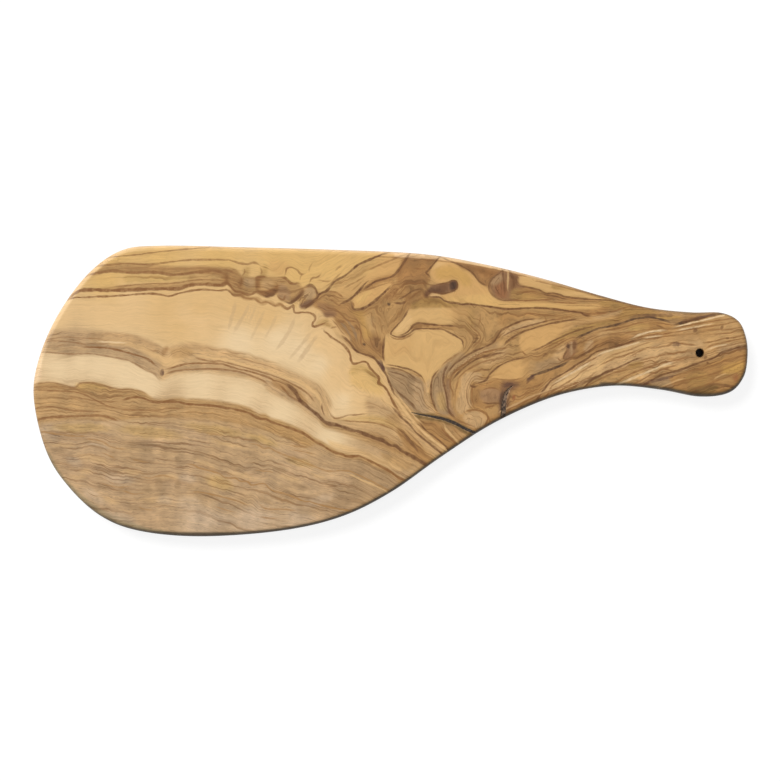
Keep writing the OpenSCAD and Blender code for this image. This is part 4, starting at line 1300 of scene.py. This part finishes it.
def blankPlank():
    thickness = boardShape["thickness"]
    radius = boardShape["edgeRadius"]
    bm = bmesh.new()
    upright(bm, boardOutline(boardShape["outlineStep"]), 0, thickness)
    rims = [e for e in bm.edges if abs(e.verts[0].co.z - e.verts[1].co.z) < sameLevel]
    bmesh.ops.bevel(bm, geom=rims, offset=radius * mm, offset_type="OFFSET", profile=0.5, affect="EDGES",
                    segments=boardShape["edgeSegments"], material=-1, clamp_overlap=False)
    for level in np.linspace(radius, thickness - radius, boardShape["sideBands"] + 1)[1:-1]:
        bmesh.ops.bisect_plane(bm, geom=[*bm.verts, *bm.edges, *bm.faces], dist=weld,
                               plane_co=(0, 0, level * mm), plane_no=(0, 0, 1))
    # Fitted to the node's own box
    low, high = [Vector(corner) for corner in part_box("board")]
    size = [max(v.co[i] for v in bm.verts) - min(v.co[i] for v in bm.verts) for i in range(3)]
    middle = [(max(v.co[i] for v in bm.verts) + min(v.co[i] for v in bm.verts)) / 2 for i in range(3)]
    bmesh.ops.translate(bm, vec=[-c for c in middle], verts=bm.verts)
    bmesh.ops.scale(bm, vec=[(high[i] - low[i]) / size[i] for i in range(3)], verts=bm.verts)
    bmesh.ops.translate(bm, vec=(low + high) / 2, verts=bm.verts)
    return bm


# The crack that was filled with dark resin, and the pocket of bark, both open to the lower edge.
# Their shares are along, aside and of the width.
crackShape = {
    "back": 39.8, "length": 40, "width": 1.9, "angle": 162,
    "shares": [(0, 0, 0.9), (0.18, 0.023, 0.9), (0.32, 0.047, 1), (0.475, 0.058, 0.92),
               (0.63, 0.048, 0.75), (0.83, 0.02, 0.45), (1, 0, 0.1)],
}
barkShape = {
    "back": 24, "length": 19.5, "width": 2.8, "angle": 86,
    "shares": [(0, 0, 0.8), (0.2, 0, 0.94), (0.4, 0, 1), (0.6, 0.01, 0.9),
               (0.78, 0.05, 0.8), (0.9, 0.12, 0.55), (1, 0.22, 0.25)],
}
holeShape = {"bore": 5, "inset": 28.2, "shift": 0.9, "ease": 0.4}
overrun = 4                # mm that a cutter runs past what it cuts
wallWaver = {
    "step": 0.7,           # mm
    "share": 0.13,         # of the fissure's half width
    "sides": [(1, 3.0, 1.0), (-1, 3.4, 4.0)],      # side, pace, seed
}


def fissureCutter(name, shape):
    # Prism along the winding line, with a slight waver in its walls
    ring = boardOutline()
    x = boardStart + boardShape["bladeLength"] - shape["back"]
    mouth = None
    for a, b in zip(ring, np.roll(ring, -1, axis=0)):
        if a[0] >= x > b[0]:
            mouth = a + (b - a) * (a[0] - x) / (a[0] - b[0])
            break
    turn = math.radians(shape["angle"])
    ahead = np.array([math.cos(turn), math.sin(turn)])
    aside = np.array([math.sin(turn), -math.cos(turn)])
    shares = np.array(shape["shares"])
    line = mouth + shape["length"] * (shares[:, :1] * ahead + shares[:, 1:2] * aside)
    fine = smoothPath(np.column_stack([line, shares[:, 2]]), wallWaver["step"])
    half = fine[:, 2] * shape["width"] / 2
    along = np.arange(len(fine)) * wallWaver["step"]
    walls = []
    for side, pace, seed in wallWaver["sides"]:
        uneven = half * (1 + wallWaver["share"] * softNoise(along * pace, seed))
        walls.append(fine[:, :2] + side * uneven[:, None] * aside)
    outside = mouth - overrun * ahead
    points = np.vstack([outside + half[0] * aside, walls[0], walls[1][::-1], outside - half[0] * aside])
    bm = bmesh.new()
    upright(bm, points, -overrun, boardShape["thickness"] + overrun)
    return newObject(name, bm)


def holeCutter(name):
    radius = holeShape["bore"] / 2
    top = boardShape["thickness"]
    ease = holeShape["ease"]
    wide = radius + ease + overrun
    profile = [
        (0, -overrun), (wide, -overrun), (radius, ease),
        (radius, top - ease), (wide, top + overrun), (0, top + overrun),
    ]
    bm = bmesh.new()
    verts = [bm.verts.new((r * mm, 0, z * mm)) for r, z in profile]
    edges = [bm.edges.new(pair) for pair in zip(verts, verts[1:])]
    bmesh.ops.spin(bm, geom=verts + edges, cent=(0, 0, 0), axis=(0, 0, 1), angle=2 * math.pi,
                   steps=turnedSteps, use_merge=True)
    bmesh.ops.remove_doubles(bm, verts=bm.verts, dist=weld)
    x = -boardStart - holeShape["inset"]
    y = boardShape["gripMiddle"] + holeShape["shift"]
    bmesh.ops.translate(bm, vec=(x * mm, y * mm, 0), verts=bm.verts)
    bmesh.ops.recalc_face_normals(bm, faces=bm.faces)
    return newObject(name, bm)


def carve(piece, cutters, operation):
    # Apply Booleans to a piece's own mesh
    for cutter in cutters:
        modifier = piece.modifiers.new("carve", "BOOLEAN")
        modifier.operation = operation
        modifier.solver = "EXACT"
        modifier.object = cutter
    bpy.context.view_layer.update()
    ready = piece.evaluated_get(bpy.context.evaluated_depsgraph_get())
    mesh = bpy.data.meshes.new_from_object(ready)
    piece.modifiers.clear()
    piece.data = mesh
    mesh.name = piece.name


def cutStrips(bm, faces, axis, step):
    # Cut flat faces by evenly spaced planes, each time only in what is left ahead of the last one
    done = []
    rest = faces
    first = min(v.co[axis] for f in faces for v in f.verts) / (step * mm)
    last = max(v.co[axis] for f in faces for v in f.verts) / (step * mm)
    place = [0, 0, 0]
    normal = [0, 0, 0]
    normal[axis] = 1
    for k in range(math.ceil(first), math.floor(last) + 1):
        place[axis] = k * step * mm
        edges = dict.fromkeys(e for f in rest for e in f.edges)
        verts = dict.fromkeys(v for f in rest for v in f.verts)
        cut = bmesh.ops.bisect_plane(bm, geom=[*rest, *edges, *verts], dist=weld, plane_co=place,
                                     plane_no=normal)
        parts = [f for f in cut["geom"] if isinstance(f, bmesh.types.BMFace)]
        done += [f for f in parts if f.calc_center_median()[axis] < place[axis]]
        rest = [f for f in parts if f.calc_center_median()[axis] >= place[axis]]
    return done + rest


def isLevel(face):
    return abs(face.normal.z) > levelNormal


def cutLattice(bm, level, step):
    faces = [f for f in bm.faces if isLevel(f) and abs(f.calc_center_median().z - level * mm) < sameLevel]
    if faces:
        cutStrips(bm, cutStrips(bm, faces, 0, step), 1, step)


print("Plank")
board = newObject("oliveBoard", blankPlank())
crackCutter = fissureCutter("crackCutter", crackShape)
barkCutter = fissureCutter("barkCutter", barkShape)
boreCutter = holeCutter("boreCutter")
fillings = {}
for name, cutter in (("crackFilling", crackCutter), ("barkPocket", barkCutter)):
    fillings[name] = bpy.data.objects.new(name, board.data.copy())
    scene.collection.objects.link(fillings[name])
    carve(fillings[name], [cutter], "INTERSECT")
carve(board, [boreCutter, crackCutter, barkCutter], "DIFFERENCE")
for cutter in (crackCutter, barkCutter, boreCutter):
    bpy.data.objects.remove(cutter)

print("Lattice for the figure")
bm = bmesh.new()
bm.from_mesh(board.data)
bmesh.ops.remove_doubles(bm, verts=bm.verts, dist=weld)
bmesh.ops.dissolve_limit(bm, angle_limit=math.radians(boardShape["flatAngle"]), verts=bm.verts,
                         edges=[e for e in bm.edges if all(isLevel(f) for f in e.link_faces)])
cutLattice(bm, boardShape["thickness"], boardShape["topStep"])
cutLattice(bm, 0, boardShape["undersideStep"])
bm.to_mesh(board.data)
bm.free()
board.data.shade_smooth()
board.data.set_sharp_from_angle(angle=math.radians(boardShape["sharpAngle"]))
print("Triangles on the plank:", sum(len(f.vertices) - 2 for f in board.data.polygons))

# How the growth layers run down through the plank, and the painted highlight and painted shade on the rounded
# edges
depthShape = {
    "lean": (0.10, 0.34),      # mm for each mm of depth
    # One wave for each direction: lengths and phases along x and y, and how far it carries at the bottom
    "waves": [
        {"lengths": (31, 23), "phases": (1.0, 0), "most": 2.2},
        {"lengths": (27, 35), "phases": (0, 0.7), "most": 2.6},
    ],
}
rimPaintedLight = {
    "cover": 0.75,
    "from": 0.97,              # upward part of the normal where a rim starts
    "over": 0.2,
    "underOver": 0.25,         # the same where it ends, under the edge
    "underShare": 0.2,
    # facing that gets the most painted shade, the side away from the key light
    "darkSide": (0.45, -0.9, 0.0),
    "contrast": 1.3,
    "handleFrom": 85,          # mm along the board
    "handleOver": 40,
    "handleDark": 0.5,
    "lineLoss": 0.75,          # share of the growth lines that it hides
}
print("Figure of the wood")
outline = boardOutline(boardShape["outlineStep"])
outline = np.vstack([outline, outline[:1]])
lines = boardLines(outline)
families = familyOf(lines)
spots = np.empty(len(board.data.vertices) * 3)
board.data.vertices.foreach_get("co", spots)
spots = spots.reshape(-1, 3) / mm
depth = boardShape["thickness"] - spots[:, 2:]
drift = []
for wave in depthShape["waves"]:
    turns = [spots[:, i] / wave["lengths"][i] + wave["phases"][i] for i in range(2)]
    drift.append(np.sin(turns[0]) * np.cos(turns[1]) * wave["most"])
lean = np.array(depthShape["lean"]) + np.column_stack(drift) / boardShape["thickness"]
places = spots[:, :2] + depth * lean


def addAttribute(mesh, name, kind, values):
    attribute = mesh.attributes.new(name, kind, "POINT")
    field = "vector" if kind == "FLOAT_VECTOR" else "value"
    attribute.data.foreach_set(field, values.astype(np.float32).ravel())


facing = np.empty(len(board.data.vertices) * 3)
board.data.vertices.foreach_get("normal", facing)
facing = facing.reshape(-1, 3)
painted = paintGround(places)
# Painted light on the rounded edges: a painted highlight where they face the key light, painted shade where
# they face away, and on the handle the side that faces the light is painted darker too
rounded = smoothStep((rimPaintedLight["from"] - facing[:, 2]) / rimPaintedLight["over"])
rounded *= smoothStep(facing[:, 2] / rimPaintedLight["underOver"] + rimPaintedLight["underShare"])
shaded = facing @ np.array(rimPaintedLight["darkSide"]) * rimPaintedLight["contrast"]
onHandle = smoothStep((spots[:, 0] - rimPaintedLight["handleFrom"]) / rimPaintedLight["handleOver"])
for name, cover in (
    ("rimPaintedShade", smoothStep(shaded)),
    ("rimPaintedHighlight", smoothStep(-shaded) * (1 - onHandle)),
    ("rimPaintedShade", smoothStep(-shaded) * onHandle * rimPaintedLight["handleDark"]),
):
    amount = (rounded * cover * rimPaintedLight["cover"])[:, None]
    painted += amount * (toneAndCalm(name) - painted)
addAttribute(board.data, "tone", "FLOAT_VECTOR", toLinear(painted[:, :3]))
addAttribute(board.data, "restless", "FLOAT", painted[:, 3])
for index, layer in enumerate(paintLines(places, lines, families)):
    layer[:, 2] *= 1 - rimPaintedLight["lineLoss"] * painted[:, 4]
    addAttribute(board.data, f"line{index}", "FLOAT_VECTOR", layer[:, :3])
    addAttribute(board.data, f"lineTone{index}", "FLOAT", layer[:, 3])
addAttribute(board.data, "grain", "FLOAT", readGrid(*grainField(lines), places))

print("Materials")

# Oiled olive wood, planed and sanded: a close satin surface with dark growth lines and fine fibres.
# The mesh carries its broad tones and the places of its lines, and these patterns give the grain.
woodFinish = {
    "ior": 1.46,
    "roughness": (0.40, 0.54),   # in the late wood and in the fibres
    "rippleHeight": 2.86,        # mm that the grain waves to and fro
    "bump": 0.03,                # mm
    "bumpStrength": 0.6,
    "streakHeight": 0.6,         # beside the fibres'
    "fibreDepth": (0.54, 0.18),  # shade of the fibres, with and without restless grain
    "cloudDepth": 0.5,
    "quiltDepth": 0.85,
    "quiltFrom": (0.7, 1.3),     # restlessness where the quilted figure starts and is full
    "hairFrom": (1.1, 1.45),     # the same for the finest dark hairs
    "poreLevels": (0.53, 0.72),
    "poreDepth": 0.22,
    "lineWobble": 0.6,           # mm
    "lineEdge": (1.45, 0.6),     # where a line starts and is full, in half widths
    "lineGrit": (0.25, 0.6),     # levels of the grit that breaks a line up
    "gritDepth": (0.5, 0.75),    # strength that the grit gives, and what is left without it
    "lineFall": 0.8,
}
# Reach in mm along x, y and z, detail, roughness and, where a pattern follows the grain, its spacing in mm
woodPatterns = {
    "ripple": ((6.5, 39, 20), 2.0, 0.5, None),
    "streak": ((80, 80, 30), 4.0, 0.62, 1.5),
    "fibre": ((8, 8, 8), 2.0, 0.6, 0.55),      # the real fibres are finer still
    "growth": ((120, 120, 60), 1.0, 0.5, 2.0),
    "pore": ((2.2, 2.2, 2.2), 2.0, 0.6, 0.5),
    "cloud": ((9, 45, 20), 2.0, 0.55, None),
    "quilt": ((8.0, 4.4, 9), 2.0, 0.6, None),
    "wobble": ((3.2, 3.2, 3.2), 2.0, 0.6, None),
    "grit": ((2.4, 2.4, 2.4), 2.0, 0.6, None),
}
# A thin stain follows the middle level of its pattern
woodStains = [
    {"pattern": "streak", "levels": (0.50, 0.72), "cover": 0.8, "tint": (0.56, 0.46, 0.34, 1)},
    {"pattern": "streak", "levels": (0.48, 0.30), "cover": 0.7, "tint": (1.20, 1.18, 1.10, 1)},
    {"pattern": "growth", "levels": (0.018, 0.003), "cover": 0.65, "tint": (0.48, 0.38, 0.28, 1),
     "thin": True},
    {"pattern": "streak", "levels": (0.022, 0.004), "cover": 0.5, "tint": (0.48, 0.38, 0.28, 1),
     "thin": True, "hair": True},
]
woodMaterial, tree = newMaterial("oiledOliveWood")
place = addNode(tree, "TexCoord", {}, "Object")
tone = addNode(tree, "Attribute", {"attribute_name": "tone"}, "Vector")
grain = addNode(tree, "Attribute", {"attribute_name": "grain"}, "Fac")
restless = addNode(tree, "Attribute", {"attribute_name": "restless"}, "Fac")
wavyGrain = None
pattern = {}
swing = {}
for name, (reach, detail, roughness, spacing) in woodPatterns.items():
    scaled = addNode(tree, "Mapping", {"Vector": place, "Scale": [1000 / size for size in reach]})
    settings = {"Vector": scaled, "Scale": 1.0, "Detail": detail, "Roughness": roughness}
    if spacing:
        settings["noise_dimensions"] = "4D"
        settings["W"] = addNode(tree, "Math", {"operation": "DIVIDE", 0: wavyGrain, 1: spacing})
    pattern[name] = addNode(tree, "TexNoise", settings)
    swing[name] = addNode(tree, "Math", {"operation": "SUBTRACT", 0: pattern[name], 1: 0.5})
    if name == "ripple":
        wavyGrain = addNode(tree, "Math", {
            "operation": "MULTIPLY_ADD", 0: swing[name], 1: woodFinish["rippleHeight"], 2: grain,
        })

# How far the hairs, the quilted figure, the pores and the grit of the lines show
amounts = {}
for name, source, key, most in (
    ("hair", restless, "hairFrom", 1.0),
    ("quilt", restless, "quiltFrom", woodFinish["quiltDepth"]),
    ("pore", pattern["pore"], "poreLevels", woodFinish["poreDepth"]),
    ("grit", pattern["grit"], "lineGrit", 1.0),
):
    amounts[name] = addNode(tree, "MapRange", {
        "interpolation_type": "SMOOTHSTEP", "Value": source, "From Min": woodFinish[key][0],
        "From Max": woodFinish[key][1], "To Max": most,
    })

colour = tone
for stain in woodStains:
    level = pattern[stain["pattern"]]
    if stain.get("thin"):
        level = addNode(tree, "Math", {"operation": "ABSOLUTE", 0: swing[stain["pattern"]]})
    covered = addNode(tree, "MapRange", {
        "interpolation_type": "SMOOTHSTEP", "Value": level, "From Min": stain["levels"][0],
        "From Max": stain["levels"][1], "To Max": stain["cover"],
    })
    where = amounts["hair"] if stain.get("hair") else restless
    covered = addNode(tree, "Math", {"operation": "MULTIPLY", 0: covered, 1: where})
    stained = addNode(tree, "Mix", {
        "data_type": "RGBA", "blend_type": "MULTIPLY", 0: 1.0, 6: tone, 7: stain["tint"],
    }, 2)
    colour = addNode(tree, "Mix", {"data_type": "RGBA", 0: covered, 6: colour, 7: stained}, 2)

# Light and shade of the fibres, of the cloudy and the quilted figure, and of the pores
fibreDepth = addNode(tree, "Math", {
    "operation": "MULTIPLY_ADD", 0: restless, 1: woodFinish["fibreDepth"][0], 2: woodFinish["fibreDepth"][1],
})
cloudDepth = addNode(tree, "Math", {"operation": "MULTIPLY", 0: restless, 1: woodFinish["cloudDepth"]})
shade = 1.0
for name, depth in (("fibre", fibreDepth), ("cloud", cloudDepth), ("quilt", amounts["quilt"])):
    shade = addNode(tree, "Math", {"operation": "MULTIPLY_ADD", 0: swing[name], 1: depth, 2: shade})
pores = addNode(tree, "Math", {"operation": "MULTIPLY", 0: amounts["pore"], 1: restless})
shade = addNode(tree, "Math", {"operation": "SUBTRACT", 0: shade, 1: pores})
colour = addNode(tree, "VectorMath", {"operation": "SCALE", 0: colour, "Scale": shade})

# The drawn growth lines, one family over the other
gritty = addNode(tree, "Math", {
    "operation": "MULTIPLY_ADD", 0: amounts["grit"], 1: woodFinish["gritDepth"][0],
    2: woodFinish["gritDepth"][1],
})
for index in range(lineShape["families"]):
    data = addNode(tree, "Attribute", {"attribute_name": f"line{index}"}, "Vector")
    across, halfWidth, strength = addNode(tree, "SeparateXYZ", {0: data}).node.outputs
    lineTone = addNode(tree, "Attribute", {"attribute_name": f"lineTone{index}"}, "Fac")
    ramp = addNode(tree, "ValToRGB", {0: lineTone})
    stops = ramp.node.color_ramp.elements
    for i in range(len(toneOrder)):
        stop = stops[i] if i < 2 else stops.new(1.0)
        stop.position = i / (len(toneOrder) - 1)
    for stop, name in zip(stops, toneOrder):
        stop.color = [*toLinear(woodTones[name]), 1]
    away = addNode(tree, "Math", {
        "operation": "MULTIPLY_ADD", 0: swing["wobble"], 1: woodFinish["lineWobble"], 2: across,
    })
    away = addNode(tree, "Math", {"operation": "ABSOLUTE", 0: away})
    ratio = addNode(tree, "Math", {"operation": "DIVIDE", 0: away, 1: halfWidth})
    cover = addNode(tree, "MapRange", {
        "interpolation_type": "SMOOTHSTEP", "Value": ratio, "From Min": woodFinish["lineEdge"][0],
        "From Max": woodFinish["lineEdge"][1],
    })
    for factor in (strength, gritty):
        cover = addNode(tree, "Math", {"operation": "MULTIPLY", 0: cover, 1: factor})
    cover = addNode(tree, "Math", {"operation": "POWER", 0: cover, 1: woodFinish["lineFall"]})
    colour = addNode(tree, "Mix", {"data_type": "RGBA", 0: cover, 6: colour, 7: ramp}, 2)

height = addNode(tree, "Math", {
    "operation": "MULTIPLY_ADD", 0: pattern["streak"], 1: woodFinish["streakHeight"], 2: pattern["fibre"],
})
bump = addNode(tree, "Bump", {
    "Strength": woodFinish["bumpStrength"], "Distance": woodFinish["bump"] * mm, "Height": height,
})
rough = addNode(tree, "MapRange", {
    "Value": pattern["fibre"], "To Min": woodFinish["roughness"][0], "To Max": woodFinish["roughness"][1],
})
shader = addNode(tree, "BsdfPrincipled", {
    "IOR": woodFinish["ior"], "Base Color": colour, "Roughness": rough, "Normal": bump,
})
addNode(tree, "OutputMaterial", {"Surface": shader})
board.data.materials.clear()
board.data.materials.append(woodMaterial)

fillingFinishes = {
    # Dark resin pressed into the crack and sanded: near black, dull, with grit in it
    "crackFilling": {
        "material": "darkCrackResin", "dark": "2c2016", "light": "604a30", "levels": (0.45, 0.8),
        "roughness": 0.55, "grains": (1.3, 1.3, 1.3), "detail": 3.0, "coarse": 0.6, "bump": 0.12,
        "bumpStrength": 0.7, "sunk": 0.12, "uneven": 0.2, "node": "crack_filler", "slot": "dark_filler",
    },
    # Bark that the tree grew over, cut through with the plank: dry and crumbly, dark between its scales
    "barkPocket": {
        "material": "ingrownBark", "dark": "33261f", "light": "8f745c", "levels": (0.4, 0.7),
        "roughness": 0.85, "grains": (1.6, 2.4, 1.6), "detail": 4.0, "coarse": 0.65, "bump": 0.25,
        "bumpStrength": 0.9, "sunk": 0.2, "uneven": 0.5, "node": "bark_inclusion", "slot": "bark",
    },
}
fillingFace = {
    "step": 0.5,               # mm between the cuts of its lattice
    "coarse": 1.1,             # mm, reach of its hollows
    "fine": 0.5,
    "fineShare": 0.5,
    "facing": 0.05,            # least upward or downward part of the normal of a face that shows
    "sharpAngle": 50,
}


def roughenFilling(piece, finish):
    # Fine lattice on the faces that show, sunk a little below the wood, in mm
    bm = bmesh.new()
    bm.from_mesh(piece.data)
    bmesh.ops.remove_doubles(bm, verts=bm.verts, dist=weld)
    for level in (0, boardShape["thickness"]):
        cutLattice(bm, level, fillingFace["step"])
    pushes = {}
    for face in bm.faces:
        if abs(face.normal.z) > fillingFace["facing"]:
            for vert in face.verts:
                pushes[vert] = pushes.get(vert, Vector((0, 0, 0))) + face.normal
    for vert, push in pushes.items():
        hollow = noise.noise(vert.co / (fillingFace["coarse"] * mm))
        hollow += fillingFace["fineShare"] * noise.noise(vert.co / (fillingFace["fine"] * mm))
        vert.co -= push.normalized() * (finish["sunk"] + finish["uneven"] * (1 + hollow) / 2) * mm
    bmesh.ops.recalc_face_normals(bm, faces=bm.faces)
    bm.to_mesh(piece.data)
    bm.free()
    piece.data.shade_smooth()
    piece.data.set_sharp_from_angle(angle=math.radians(fillingFace["sharpAngle"]))


print("Fillings")
pieces = [(board, "board", "olive_wood")]
for name, finish in fillingFinishes.items():
    material, tree = newMaterial(finish["material"])
    place = addNode(tree, "TexCoord", {}, "Object")
    scaled = addNode(tree, "Mapping", {"Vector": place, "Scale": [1000 / size for size in finish["grains"]]})
    grains = addNode(tree, "TexNoise", {
        "Vector": scaled, "Scale": 1.0, "Detail": finish["detail"], "Roughness": finish["coarse"],
    })
    lightness = addNode(tree, "MapRange", {
        "interpolation_type": "SMOOTHSTEP", "Value": grains, "From Min": finish["levels"][0],
        "From Max": finish["levels"][1],
    })
    colour = addNode(tree, "Mix", {
        "data_type": "RGBA", 0: lightness, 6: [*toLinear(finish["dark"]), 1],
        7: [*toLinear(finish["light"]), 1],
    }, 2)
    bump = addNode(tree, "Bump", {
        "Strength": finish["bumpStrength"], "Distance": finish["bump"] * mm, "Height": grains,
    })
    shader = addNode(tree, "BsdfPrincipled", {
        "Roughness": finish["roughness"], "Base Color": colour, "Normal": bump,
    })
    addNode(tree, "OutputMaterial", {"Surface": shader})
    piece = fillings[name]
    roughenFilling(piece, finish)
    piece.data.materials.clear()
    piece.data.materials.append(material)
    pieces.append((piece, finish["node"], finish["slot"]))

for piece, node, slot in pieces:
    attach(piece, "root")
    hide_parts(node)

print("Done")
